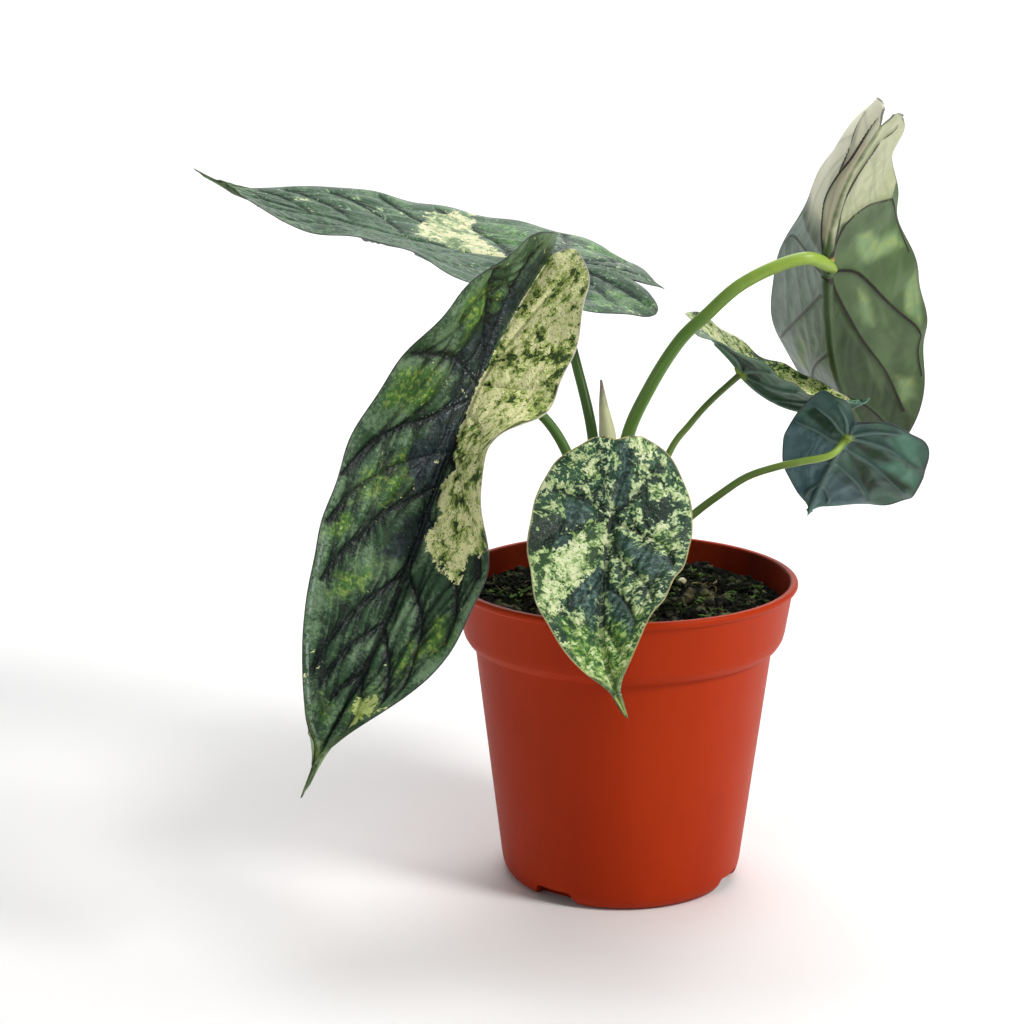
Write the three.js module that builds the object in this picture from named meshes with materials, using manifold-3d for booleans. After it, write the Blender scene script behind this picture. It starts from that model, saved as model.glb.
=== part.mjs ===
// Potted dragon scale mint alocasia: six leaves on their stems, standing in peat in a plastic nursery pot.
// Millimetres, +Z up. The origin is the centre of the pot's flat underside, and the front is towards -Y.
import * as THREE from 'three';
import { mergeVertices } from 'three/addons/utils/BufferGeometryUtils.js';
import Module from 'manifold-3d';

// Pot: a 12 cm nursery pot, as turned about Z
const POT_HEIGHT = 107.4;
const LIP_RADIUS = 60;
const LIP_INNER_RADIUS = 57.3;
const BAND_BOTTOM = 85;
const STEP_RADIUS = 53.8;
const WALL_TOP_RADIUS = 51.7;
const WALL_LOW_RADIUS = 42.2;
const BASE_RADIUS = 38;
const WALL_THICKNESS = 1.6;
const FLOOR_THICKNESS = 2.4;
const BEAD_HEIGHT = 2.8;
const NOTCH_ANGLES = [236.5, 335.5, 62.5, 149.5];
const NOTCH_WIDTH = 20;
const NOTCH_TOP_WIDTH = 13;
const NOTCH_HEIGHT = 5.2;
const NOTCH_INNER_RADIUS = 34;
const POT_SIDES = 60;

// Soil and the stump in its plain hole
const GAP = 0.3;
const SOIL_TOP = 98.5;
const SOIL_SIDES = 48;
const SOIL_RINGS = 8;
const STUMP_X = -4;
const STUMP_RADIUS = 10;
const STUMP_BOTTOM = 80;
const STUMP_TOP = 102;

// Leaf blades
const BLADE_THICKNESS = 0.7;
const MIDRIB_THICKNESS = 1.7;
const VEIN_SWEEP = 0.07;
const LOBE_SHARE = 0.42;
const LATERAL_END = 0.84;
const ACROSS = [0, 0.07, 0.25, 0.5, 0.75, 0.93, 1];

// Each leaf is a flat outline bent along its midrib. length is junction to tip, lobe is junction to the end
// of the basal lobes, notch is junction to the bottom of the cleft, half is the widest half width and widest
// the share of the length where it lies. lobeWidth, inner and shoulder are where the end, the inner edge and
// the outer edge of a lobe lie across the half, leftShare is how wide the left half is beside the right one,
// and junction is where the stem meets the blade. pose lists places along the midrib as
// [share of length, heading, pitch, roll, fold right, fold left, curl right, curl left].
const LEAVES = [
  {
    name: 'large_front_leaf', length: 141.5, lobe: 54.5, notch: 51, half: 31.5, widest: 0.41, drip: 0.10,
    lobeWidth: 0.28, inner: 0.06, shoulder: 0.8, leftShare: 1, junction: [-46.5, -55, 184], veins: 7,
    lobeVeins: 3, rows: 40, pucker: 1.0, colour: 0x3f5f42,
    pose: [
      [-0.385, 226, -42, 52, 65, 50, 35, 26],
      [0, 234, -52, 44, 32, 36, 25, 14],
      [0.22, 238, -55, 26, 23, 52, 21, 17],
      [0.45, 238, -55, 33, 19, 36, 14, 5],
      [0.75, 230, -51, 30, 17, 30, 7, -9],
      [1, 212, -62, 2, 19, 54, 0, -12],
    ],
    stem: [[-10.5, -3.5, 102.3], [-12, -5, 125], [-19, -10, 151], [-28, -22, 168], [-39, -42, 178]],
    stemRadius: [2.4, 1.6],
  },
  {
    name: 'large_back_leaf', length: 128, lobe: 44, notch: 31, half: 43, widest: 0.29, drip: 0.10,
    lobeWidth: 0.38, inner: 0.1, shoulder: 0.78, leftShare: 1, junction: [-29, 34, 212.5],
    veins: 7, lobeVeins: 3, rows: 40,
    pucker: 1.0, colour: 0x557a5a,
    pose: [
      [-0.35, 179, 29, 5, -2, -17, -17, 20],
      [0, 175, 5, 6, 4, -8, -5, 3],
      [0.4, 180, 14, 1, 9, 4, 6, 0],
      [0.75, 183, 17, 6, 5, 0, 10, -6],
      [1, 183, 29, -6, -8, 3, 6, -6],
    ],
    stem: [[-9.5, 4.5, 102.3], [-9.5, 6.5, 128], [-11.5, 12, 154.5], [-17.5, 21, 178], [-24, 29, 199]],
    stemRadius: [2.4, 1.7],
  },
  {
    name: 'tall_right_leaf', length: 119, lobe: 60, notch: 57, half: 39, widest: 0.35, drip: 0.10,
    lobeWidth: 0.26, inner: 0.06, shoulder: 0.86, leftShare: 1, junction: [65.5, -11.5, 218], veins: 6,
    lobeVeins: 3, rows: 40,
    pucker: 0.8, colour: 0x8ea878,
    pose: [
      [-0.5, 140, -49, -35, 45, 87, 24, 67],
      [0, 87, -57, -9, 49, 58, 24, 31],
      [0.3, 74, -54, -4, 41, 39, 20, 12],
      [0.6, 60, -41, -1, 37, 25, 20, 6],
      [1, 61, -22, -19, 4, 4, 5, -2],
    ],
    stem: [[-2.5, 6.5, 102.3], [-3, 7, 128], [0.5, 4, 155], [8.5, -3, 175], [17.5, -10, 191],
      [26, -15, 200.5], [36, -19, 210.5], [47.5, -20, 217], [58, -19, 220]],
    stemRadius: [2.6, 2.1],
  },
  {
    name: 'middle_right_leaf', length: 48, lobe: 26, notch: 14, half: 22.5, widest: 0.34, drip: 0.10,
    lobeWidth: 0.38, inner: 0.1, shoulder: 0.78, leftShare: 1, junction: [40, 8, 178],
    veins: 5, lobeVeins: 2, rows: 28,
    pucker: 0.6, colour: 0x7c9c6e,
    pose: [
      [-0.54, 17, -33, -8, -3, 10, 0, 0],
      [0, 7, -46, 0, 18, 19, 0, 0],
      [0.5, 0, -12, 0, 24, 26, 0, 0],
      [1, -4, 30, 2, 32, 28, 0, 0],
    ],
    stem: [[2.2, 2.4, 102.3], [6, 3, 125], [15, 4, 150], [22, 5, 160], [29, 6, 168]],
    stemRadius: [1.7, 1.1],
  },
  {
    name: 'low_right_leaf', length: 46, lobe: 17, notch: 9, half: 29, widest: 0.33, drip: 0.14,
    lobeWidth: 0.5, inner: 0.22, shoulder: 0.855, leftShare: 0.64, junction: [74, -14, 160.5],
    veins: 5, lobeVeins: 2, rows: 28,
    pucker: 0.6, colour: 0x5f8078,
    pose: [
      [-0.37, 105, -35, -30, 5, 8, -10, 0],
      [0, 108, -42, -30, 0, 4, -15, 0],
      [0.5, 110, -48, -30, 0, 4, -10, 0],
      [1, 112, -58, -20, 0, 10, 0, 0],
    ],
    stem: [[1.4, -3.8, 102.3], [10, -4.5, 118], [23, -6, 130.5], [32, -9, 138.5], [41, -12, 145.5],
      [51, -16, 150], [59, -19, 152.5], [68, -20, 155]],
    stemRadius: [1.6, 1.2],
  },
  {
    name: 'small_front_leaf', length: 82, lobe: 26, notch: 25, half: 26, widest: 0.24, drip: 0.15,
    lobeWidth: 0.38, inner: 0.1, shoulder: 0.78, leftShare: 1, junction: [-4, -57, 143],
    veins: 6, lobeVeins: 2, rows: 32,
    pucker: 0.7, colour: 0x6f9063,
    pose: [
      [-0.32, 275, -80, 25, 18, 0, 5, -5],
      [0, 262, -46, 13, 20, 12, 0, -5],
      [0.5, 271, -31, 0, 20, 26, 0, -5],
      [1, 300, -35, -18, 25, 45, 0, 0],
    ],
    stem: [[-4.6, -6.5, 102.3], [-5, -14, 122], [-5, -28, 136], [-4.5, -45, 140]],
    stemRadius: [1.7, 1.2],
  },
];

// The rolled new leaf that stands among the stems
const SPEAR_PATH = [[-4, 0, 102.3], [-4.6, 0, 125], [-6, 0, 154], [-7.6, 0, 167], [-8.5, 0, 176]];
const SPEAR_RADII = [3.0, 3.3, 3.2, 1.5, 0.35];

const STEM_SIDES = 8;
const STEM_STEPS = 14;

const radians = (degrees) => (degrees * Math.PI) / 180;

const wasm = await Module();
wasm.setup();

function toSolid(geometry) {
  const bare = geometry.clone();
  bare.deleteAttribute('normal');
  bare.deleteAttribute('uv');
  const merged = mergeVertices(bare, 1e-4);
  return new wasm.Manifold(new wasm.Mesh({
    numProp: 3,
    vertProperties: new Float32Array(merged.attributes.position.array),
    triVerts: new Uint32Array(merged.index.array),
  }));
}

function fromSolid(solid) {
  const mesh = solid.getMesh();
  const geometry = new THREE.BufferGeometry();
  geometry.setAttribute('position', new THREE.Float32BufferAttribute(mesh.vertProperties, 3));
  geometry.setIndex(Array.from(mesh.triVerts));
  return geometry;
}

function closedGeometry(points, triangles) {
  const geometry = new THREE.BufferGeometry();
  const places = points.flatMap((p) => [p.x, p.y, p.z]);
  geometry.setAttribute('position', new THREE.Float32BufferAttribute(places, 3));
  geometry.setIndex(triangles.flat());
  return geometry;
}

function named(name, geometry, colour, roughness) {
  const shaded = geometry.toNonIndexed();
  shaded.computeVertexNormals();
  const material = new THREE.MeshStandardMaterial({ color: colour, roughness, metalness: 0 });
  const mesh = new THREE.Mesh(shaded, material);
  mesh.name = name;
  return mesh;
}

// Pot: the lathe profile runs up the outside, over the lip and down the inside
function potGeometry() {
  const profile = [
    [0, 0], [BASE_RADIUS, 0], [BASE_RADIUS + 2.2, 1.2], [BASE_RADIUS + 3.6, 3.4], [WALL_LOW_RADIUS, 6],
    [WALL_TOP_RADIUS, BAND_BOTTOM - 1], [WALL_TOP_RADIUS + 0.4, BAND_BOTTOM], [STEP_RADIUS, BAND_BOTTOM],
    [STEP_RADIUS + 1.6, BAND_BOTTOM + 2.6], [STEP_RADIUS + 2.2, BAND_BOTTOM + 5],
    [LIP_RADIUS - 1.7, POT_HEIGHT - BEAD_HEIGHT], [LIP_RADIUS - 0.4, POT_HEIGHT - BEAD_HEIGHT + 0.6],
    [LIP_RADIUS, POT_HEIGHT - BEAD_HEIGHT + 1.2], [LIP_RADIUS, POT_HEIGHT - 0.6],
    [LIP_RADIUS - 0.6, POT_HEIGHT], [LIP_INNER_RADIUS + 0.4, POT_HEIGHT],
    [LIP_INNER_RADIUS, POT_HEIGHT - 0.5], [LIP_INNER_RADIUS - 0.6, POT_HEIGHT - 4],
    [STEP_RADIUS + 0.6, BAND_BOTTOM + 5], [WALL_TOP_RADIUS - WALL_THICKNESS, BAND_BOTTOM - 1],
    [WALL_LOW_RADIUS - WALL_THICKNESS, 6], [BASE_RADIUS, FLOOR_THICKNESS], [0, FLOOR_THICKNESS],
  ].map(([radius, z]) => new THREE.Vector2(radius, z));
  const lathe = new THREE.LatheGeometry(profile, POT_SIDES);
  lathe.rotateX(Math.PI / 2);
  let pot = toSolid(lathe);
  for (const angle of NOTCH_ANGLES) {
    pot = pot.subtract(notch(angle));
  }
  return fromSolid(pot);
}

// Drain notch: a slot with slanted ends through the rounded heel of the pot
function notch(angle) {
  const shape = new THREE.Shape();
  shape.moveTo(-NOTCH_WIDTH / 2, -1);
  shape.lineTo(NOTCH_WIDTH / 2, -1);
  shape.lineTo(NOTCH_TOP_WIDTH / 2, NOTCH_HEIGHT);
  shape.lineTo(-NOTCH_TOP_WIDTH / 2, NOTCH_HEIGHT);
  shape.closePath();
  const depth = LIP_RADIUS - NOTCH_INNER_RADIUS;
  const slot = new THREE.ExtrudeGeometry(shape, { depth, bevelEnabled: false });
  slot.rotateX(Math.PI / 2);
  slot.translate(0, -NOTCH_INNER_RADIUS, 0);
  slot.rotateZ(radians(angle + 90));
  return toSolid(slot);
}

// Height of the lumpy peat at a place, zero at the pot wall and at the stump
function soilRelief(x, y, share) {
  const fade = Math.sin(Math.PI * Math.min(Math.max(share, 0), 1)) ** 0.5;
  const lumps = Math.sin(x * 0.21 + 1.3) * Math.cos(y * 0.19 - 0.7)
    + 0.6 * Math.sin(x * 0.43 - y * 0.37 + 2.1) + 0.5 * Math.cos(x * 0.31 + y * 0.53);
  return fade * (0.9 + lumps * 1.5);
}

function potInnerRadius(z) {
  const low = WALL_LOW_RADIUS - WALL_THICKNESS;
  const top = WALL_TOP_RADIUS - WALL_THICKNESS;
  if (z < BAND_BOTTOM - 1) return low + ((top - low) * (z - 6)) / (BAND_BOTTOM - 7);
  return top + ((STEP_RADIUS + 0.6 - top) * (z - BAND_BOTTOM + 1)) / 6;
}

// Peat: one closed body with a plain round hole for the stump
function soilGeometry() {
  const hole = STUMP_RADIUS + GAP;
  const points = [];
  const triangles = [];
  const rings = [];
  const ring = (place) => {
    rings.push(points.length);
    for (let s = 0; s < SOIL_SIDES; s += 1) {
      const angle = (s * 2 * Math.PI) / SOIL_SIDES;
      points.push(new THREE.Vector3(...place(Math.cos(angle), Math.sin(angle))));
    }
  };
  const wall = (radius, z) => ring((c, s) => [radius * c, radius * s, z]);
  wall(BASE_RADIUS - 1, FLOOR_THICKNESS + GAP);
  wall(potInnerRadius(6) - 0.5, 6.5);
  wall(potInnerRadius(BAND_BOTTOM - 1) - 0.5, BAND_BOTTOM - 1);
  wall(STEP_RADIUS, BAND_BOTTOM + 5.5);
  const outer = STEP_RADIUS + 1.3;
  for (let r = SOIL_RINGS; r >= 0; r -= 1) {
    const share = r / SOIL_RINGS;
    ring((c, s) => {
      const x = STUMP_X * (1 - share) + (hole + (outer - hole) * share) * c;
      const y = (hole + (outer - hole) * share) * s;
      return [x, y, SOIL_TOP + soilRelief(x, y, share)];
    });
  }
  ring((c, s) => [STUMP_X + hole * c, hole * s, STUMP_BOTTOM - GAP]);
  for (let r = 0; r + 1 < rings.length; r += 1) {
    for (let s = 0; s < SOIL_SIDES; s += 1) {
      const next = (s + 1) % SOIL_SIDES;
      const [a, b, c, d] = [rings[r] + s, rings[r] + next, rings[r + 1] + next, rings[r + 1] + s];
      triangles.push([a, b, c], [a, c, d]);
    }
  }
  const cap = (start, z, x, up) => {
    const centre = points.length;
    points.push(new THREE.Vector3(x, 0, z));
    for (let s = 0; s < SOIL_SIDES; s += 1) {
      const next = (s + 1) % SOIL_SIDES;
      triangles.push(up ? [centre, start + s, start + next] : [centre, start + next, start + s]);
    }
  };
  cap(rings[0], FLOOR_THICKNESS + GAP, 0, false);
  cap(rings[rings.length - 1], STUMP_BOTTOM - GAP, STUMP_X, true);
  return closedGeometry(points, triangles);
}

// Stump: the short ringed stem that carries the leaf stems
function stumpGeometry() {
  const r = STUMP_RADIUS;
  const profile = [
    [0, STUMP_BOTTOM], [r - 2, STUMP_BOTTOM], [r, STUMP_BOTTOM + 3], [r, SOIL_TOP + 0.8],
    [r - 0.7, SOIL_TOP + 1.2], [r + 0.3, SOIL_TOP + 1.9], [r - 0.2, SOIL_TOP + 2.8], [r - 1, STUMP_TOP],
    [0, STUMP_TOP],
  ].map(([radius, z]) => new THREE.Vector2(radius, z));
  const lathe = new THREE.LatheGeometry(profile, 24);
  lathe.rotateX(Math.PI / 2);
  lathe.translate(STUMP_X, 0, 0);
  return fromSolid(toSolid(lathe));
}

// Tube along a smooth path, with a radius at each share of its length and a chosen plane at its end
function tubeGeometry(path, radiusAt, sides, steps, endNormal) {
  const places = path.map((p) => new THREE.Vector3(...p));
  const curve = new THREE.CatmullRomCurve3(places, false, 'catmullrom', 0.5);
  const points = [];
  const triangles = [];
  let side = new THREE.Vector3(1, 0, 0);
  for (let i = 0; i <= steps; i += 1) {
    const share = i / steps;
    const centre = curve.getPointAt(share);
    const along = i === 0 ? new THREE.Vector3(0, 0, 1) : curve.getTangentAt(share);
    side = side.clone().addScaledVector(along, -side.dot(along)).normalize();
    const other = new THREE.Vector3().crossVectors(along, side);
    for (let s = 0; s < sides; s += 1) {
      const angle = (s * 2 * Math.PI) / sides;
      const p = centre.clone().addScaledVector(side, radiusAt(share) * Math.cos(angle));
      p.addScaledVector(other, radiusAt(share) * Math.sin(angle));
      if (i === steps && endNormal) {
        p.addScaledVector(along, -p.clone().sub(centre).dot(endNormal) / along.dot(endNormal));
      }
      points.push(p);
    }
  }
  for (let i = 0; i < steps; i += 1) {
    for (let s = 0; s < sides; s += 1) {
      const [a, b] = [i * sides + s, i * sides + ((s + 1) % sides)];
      triangles.push([a, b, b + sides], [a, b + sides, a + sides]);
    }
  }
  for (let s = 1; s + 1 < sides; s += 1) {
    const last = steps * sides;
    triangles.push([0, s + 1, s], [last, last + s, last + s + 1]);
  }
  return closedGeometry(points, triangles);
}

// Smooth values between the places listed in a leaf's pose
function poseAt(leaf, x) {
  const place = leaf.pose.map((row) => row[0] * leaf.length);
  const values = leaf.pose.map((row) => row.slice(1));
  const last = place.length - 1;
  const at = Math.min(Math.max(x, place[0]), place[last]);
  let i = 0;
  while (i < last - 1 && at > place[i + 1]) i += 1;
  const slope = (k, v) => {
    const [low, high] = [Math.max(k - 1, 0), Math.min(k + 1, last)];
    return (values[high][v] - values[low][v]) / (place[high] - place[low]);
  };
  const span = place[i + 1] - place[i];
  const t = (at - place[i]) / span;
  return values[i].map((start, v) => (1 + 2 * t) * (1 - t) ** 2 * start
    + t * (1 - t) ** 2 * span * slope(i, v)
    + t * t * (3 - 2 * t) * values[i + 1][v] + t * t * (t - 1) * span * slope(i + 1, v));
}

// Midrib of a leaf in space: point, direction, side and face of the blade at each place along it
function midrib(leaf) {
  const count = 240;
  const start = -leaf.lobe;
  const step = (leaf.length - start) / count;
  const samples = [];
  for (let i = 0; i <= count; i += 1) {
    const [heading, pitch, roll, ...bends] = poseAt(leaf, start + i * step).map(radians);
    const level = Math.cos(pitch);
    const along = new THREE.Vector3(level * Math.cos(heading), level * Math.sin(heading), Math.sin(pitch));
    const flatSide = new THREE.Vector3(Math.sin(heading), -Math.cos(heading), 0);
    const flatFace = new THREE.Vector3().crossVectors(flatSide, along);
    const side = flatSide.clone().multiplyScalar(Math.cos(roll)).addScaledVector(flatFace, Math.sin(roll));
    const face = flatFace.clone().multiplyScalar(Math.cos(roll)).addScaledVector(flatSide, -Math.sin(roll));
    const point = new THREE.Vector3();
    if (i > 0) {
      const before = samples[i - 1];
      point.copy(before.point).addScaledVector(before.along, step / 2).addScaledVector(along, step / 2);
    }
    samples.push({ point, along, side, face, bends });
  }
  const between = (x) => {
    const f = Math.min(Math.max((x - start) / step, 0), count - 1e-6);
    const [a, b, t] = [samples[Math.floor(f)], samples[Math.floor(f) + 1], f % 1];
    return {
      point: a.point.clone().lerp(b.point, t),
      side: a.side.clone().lerp(b.side, t),
      face: a.face.clone().lerp(b.face, t),
      bends: a.bends.map((value, k) => value + (b.bends[k] - value) * t),
    };
  };
  const shift = new THREE.Vector3(...leaf.junction).sub(between(0).point);
  samples.forEach((sample) => sample.point.add(shift));
  return between;
}

// Edge of the right half of the flat leaf, from the bottom of the cleft round the lobe to the tip
function outline(leaf) {
  const { length, lobe, notch: cleft, half, widest, drip, lobeWidth, inner, shoulder } = leaf;
  const after = (share) => (widest + (1 - widest) * share) * length;
  const points = [
    [-cleft, 0], [-(0.4 * cleft + 0.6 * lobe), inner * half], [-lobe, lobeWidth * half],
    [-0.72 * lobe, shoulder * half], [-0.12 * lobe, 0.97 * half], [widest * length, half],
    [after(0.42), 0.74 * half], [after(0.72), 0.32 * half], [(1 - drip) * length, 0.07 * half], [length, 0],
  ].map(([x, y]) => new THREE.Vector3(x, y, 0));
  const curve = new THREE.CatmullRomCurve3(points, false, 'catmullrom', 0.5);
  curve.arcLengthDivisions = 600;
  return (share) => curve.getPointAt(share);
}

// Place on the flat half leaf: row runs from the cleft (-1) past the junction (0) to the tip (1)
function flatPlace(leaf, edge, row, across) {
  const lobeRow = 1 + Math.min(row, 0);
  const inLobe = row < 0;
  const foot = inLobe ? -leaf.notch * (1 - lobeRow) ** 1.5 : row * leaf.length;
  const rim = inLobe ? LOBE_SHARE * lobeRow
    : LOBE_SHARE + (LATERAL_END - LOBE_SHARE) * row + (1 - LATERAL_END) * row ** 8;
  const end = edge(Math.min(rim, 1));
  const bendX = (foot + end.x) / 2 - VEIN_SWEEP * Math.abs(end.y);
  const [p, q, r] = [(1 - across) ** 2, 2 * across * (1 - across), across ** 2];
  return [p * foot + q * bendX + r * end.x, q * (end.y / 2) + r * end.y];
}

// Raised pads between the sunken side veins, as on the real leaf
function pucker(leaf, row, across) {
  const veins = row < 0 ? leaf.lobeVeins : leaf.veins;
  const pads = 0.5 - 0.5 * Math.cos(2 * Math.PI * veins * row);
  const ends = Math.min(1, (1 - Math.abs(row)) * 6);
  return leaf.pucker * ends * (pads - 0.35) * Math.sin(Math.PI * across) ** 0.8;
}

function edgeWave(leaf, row, across) {
  const wave = Math.sin(2 * Math.PI * (leaf.veins * 0.5 * row + 0.2));
  return 0.03 * leaf.half * wave * across ** 3 * (1 - Math.abs(row) ** 4);
}

function bendPoint(leaf, rib, side, x, y, lift) {
  const { point, side: right, face, bends } = rib(x);
  const wide = side > 0 ? y : y * leaf.leftShare;
  const fold = side > 0 ? bends[0] : bends[1];
  const curl = side > 0 ? bends[2] : bends[3];
  const half = ((curl * wide) / leaf.half) / 2;
  const chord = Math.abs(half) < 1e-6 ? wide : (wide * Math.sin(half)) / half;
  const angle = fold + half;
  const normal = fold + 2 * half;
  return point.clone()
    .addScaledVector(right, side * (chord * Math.cos(angle) - lift * Math.sin(normal)))
    .addScaledVector(face, chord * Math.sin(angle) + lift * Math.cos(normal));
}

// Blade: the same triangles on the upper face and the underside, closed round the edge
function bladeGeometry(leaf) {
  const rib = midrib(leaf);
  const edge = outline(leaf);
  const rows = leaf.rows;
  const columns = ACROSS.length - 1;
  const lobeRows = Math.round(rows * 0.3);
  const rowValue = (i) => (i < lobeRows ? i / lobeRows - 1 : (i - lobeRows) / (rows - lobeRows));
  const upper = [];
  const thick = [];
  const index = new Map();
  const key = (side, i, j) => `${i % rows === 0 || j === 0 ? 0 : side},${i},${i % rows === 0 ? 0 : j}`;
  for (const side of [1, -1]) {
    for (let i = 0; i <= rows; i += 1) {
      for (let j = 0; j <= columns; j += 1) {
        if (index.has(key(side, i, j))) continue;
        const [row, across] = [rowValue(i), ACROSS[j]];
        const [x, y] = flatPlace(leaf, edge, row, across);
        const lift = pucker(leaf, row, across) + edgeWave(leaf, row, across);
        index.set(key(side, i, j), upper.length);
        upper.push(bendPoint(leaf, rib, side, x, y, lift));
        thick.push(j === 0 ? MIDRIB_THICKNESS * (1 - 0.55 * Math.abs(row)) : BLADE_THICKNESS);
      }
    }
  }
  const faces = [];
  const rims = [];
  for (const side of [1, -1]) {
    for (let i = 0; i < rows; i += 1) {
      const at = (r, c) => index.get(key(side, r, c));
      for (let j = 0; j < columns; j += 1) {
        const [a, b, c, d] = [at(i, j), at(i, j + 1), at(i + 1, j + 1), at(i + 1, j)];
        for (const face of [[a, b, c], [a, c, d]]) {
          if (new Set(face).size === 3) faces.push(side > 0 ? face : face.reverse());
        }
      }
      rims.push(side > 0 ? [at(i, columns), at(i + 1, columns)] : [at(i + 1, columns), at(i, columns)]);
    }
  }
  const top = closedGeometry(upper, faces);
  top.computeVertexNormals();
  const normal = new THREE.Vector3();
  const lower = upper.map((p, k) => {
    normal.fromBufferAttribute(top.attributes.normal, k);
    return p.clone().addScaledVector(normal, -thick[k]);
  });
  const below = upper.length;
  const triangles = [...faces];
  faces.forEach(([a, b, c]) => triangles.push([a + below, c + below, b + below]));
  rims.forEach(([a, b]) => triangles.push([b, a, a + below], [b, a + below, b + below]));
  return closedGeometry([...upper, ...lower], triangles);
}

// Stem: its last section lies along the underside of the blade, a small gap below it
function stemGeometry(leaf) {
  const { face } = midrib(leaf)(0);
  const end = new THREE.Vector3(...leaf.junction).addScaledVector(face, -(MIDRIB_THICKNESS + GAP));
  const path = [...leaf.stem, end.toArray()];
  const [low, high] = leaf.stemRadius;
  const radiusAt = (share) => high + (low - high) * (1 - share) ** 2;
  return tubeGeometry(path, radiusAt, STEM_SIDES, STEM_STEPS, face);
}

function spearGeometry() {
  const radiusAt = (share) => {
    const place = share * (SPEAR_RADII.length - 1);
    const i = Math.min(Math.floor(place), SPEAR_RADII.length - 2);
    return SPEAR_RADII[i] + (SPEAR_RADII[i + 1] - SPEAR_RADII[i]) * (place - i);
  };
  return tubeGeometry(SPEAR_PATH, radiusAt, STEM_SIDES, STEM_STEPS, null);
}

const plant = new THREE.Group();
plant.name = 'potted_alocasia';
plant.add(named('nursery_pot', potGeometry(), 0xb8401c, 0.45));
plant.add(named('peat_soil', soilGeometry(), 0x1f1a16, 0.95));
plant.add(named('stem_stump', stumpGeometry(), 0x6d6a45, 0.8));
plant.add(named('new_leaf_spear', spearGeometry(), 0xa9a17c, 0.6));
for (const leaf of LEAVES) {
  plant.add(named(`${leaf.name}_blade`, bladeGeometry(leaf), leaf.colour, 0.45));
  plant.add(named(`${leaf.name}_stem`, stemGeometry(leaf), 0x5d7a33, 0.5));
}

export default plant;
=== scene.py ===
"""Potted dragon scale mint alocasia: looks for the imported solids.

Shapes are written in millimetres. Lights, noise scales and the spread of loose bits are in metres.
"""
import math

import bmesh
import bpy
import numpy as np
from mathutils import Matrix, Vector, kdtree


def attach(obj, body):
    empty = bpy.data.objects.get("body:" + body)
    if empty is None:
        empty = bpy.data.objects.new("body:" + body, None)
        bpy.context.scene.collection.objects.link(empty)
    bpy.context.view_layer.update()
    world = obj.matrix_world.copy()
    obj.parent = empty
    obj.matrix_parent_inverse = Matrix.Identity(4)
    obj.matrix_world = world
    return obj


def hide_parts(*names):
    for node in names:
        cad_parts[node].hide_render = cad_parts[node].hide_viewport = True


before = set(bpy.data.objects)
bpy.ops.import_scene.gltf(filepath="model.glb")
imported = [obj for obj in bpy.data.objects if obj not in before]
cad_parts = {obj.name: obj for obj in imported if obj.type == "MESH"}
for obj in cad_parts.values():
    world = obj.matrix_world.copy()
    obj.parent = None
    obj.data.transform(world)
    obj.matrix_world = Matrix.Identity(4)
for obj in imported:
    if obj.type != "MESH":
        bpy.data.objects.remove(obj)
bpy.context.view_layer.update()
MM = 0.001
SCENE = bpy.context.scene

# Camera, fitted to the rim, step and base circles of the pot: metres, degrees and pixels
CAMERA_AWAY, CAMERA_UP, LOOKS_DOWN, TURNED = 0.740, 0.306, 13.4, 3.0
PICTURE_WIDTH, FOCAL_LENGTH, SENSOR_MM = 1024, 2208, 36
camera = bpy.data.objects.new("camera", bpy.data.cameras.new("camera"))
SCENE.collection.objects.link(camera)
camera.location = (0, -CAMERA_AWAY, CAMERA_UP)
camera.rotation_euler = (math.radians(90 - LOOKS_DOWN), 0, math.radians(TURNED))
camera.data.sensor_width = SENSOR_MM
camera.data.lens = FOCAL_LENGTH * SENSOR_MM / PICTURE_WIDTH
camera.data.clip_start = 0.02
camera.data.clip_end = 30
SCENE.camera = camera
SCENE.view_settings.view_transform = "Standard"

# Settings of the nodes that the materials use most, for add(). A step takes a value and the two ends of its
# range. A blend takes a share as input 0 and colours as inputs 6 and 7. Cells give each cell its own value.
STEP = dict(kind="ShaderNodeMapRange", interpolation_type="SMOOTHSTEP")
BLEND = dict(kind="ShaderNodeMix", data_type="RGBA", out=2)
TIMES = dict(kind="ShaderNodeMath", operation="MULTIPLY")
PLUS = dict(kind="ShaderNodeMath", operation="ADD")
TIMES_PLUS = dict(kind="ShaderNodeMath", operation="MULTIPLY_ADD")
GREATER = dict(kind="ShaderNodeMath", operation="MAXIMUM")
NOISE = dict(kind="ShaderNodeTexNoise")
CELLS = dict(kind="ShaderNodeTexVoronoi", out=1)
MAPPING = dict(kind="ShaderNodeMapping")
BUMP = dict(kind="ShaderNodeBump")
SURFACE = dict(kind="ShaderNodeBsdfPrincipled")
OUTPUT = dict(kind="ShaderNodeOutputMaterial")
OBJECT_PLACE = dict(kind="ShaderNodeTexCoord", out=3)


def linear(code, alpha=1.0):
    """A colour written as sRGB hex, such as "b23c14", in linear light."""
    shares = [int(code[i:i + 2], 16) / 255 for i in (0, 2, 4)]
    return [s / 12.92 if s <= 0.04045 else ((s + 0.055) / 1.055) ** 2.4 for s in shares] + [alpha]


def add(tree, inputs=(), kind="", out=0, **settings):
    """Adds a node with its settings and gives one of its outputs. An input is a value, a hex colour or an
    output of another node."""
    node = tree.nodes.new(kind)
    for key, value in settings.items():
        setattr(node, key, value)
    for key, value in inputs.items() if isinstance(inputs, dict) else enumerate(inputs):
        if isinstance(value, bpy.types.NodeSocket):
            tree.links.new(value, node.inputs[key])
        else:
            node.inputs[key].default_value = linear(value) if isinstance(value, str) else value
    return node.outputs[out] if len(node.outputs) else node


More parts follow.
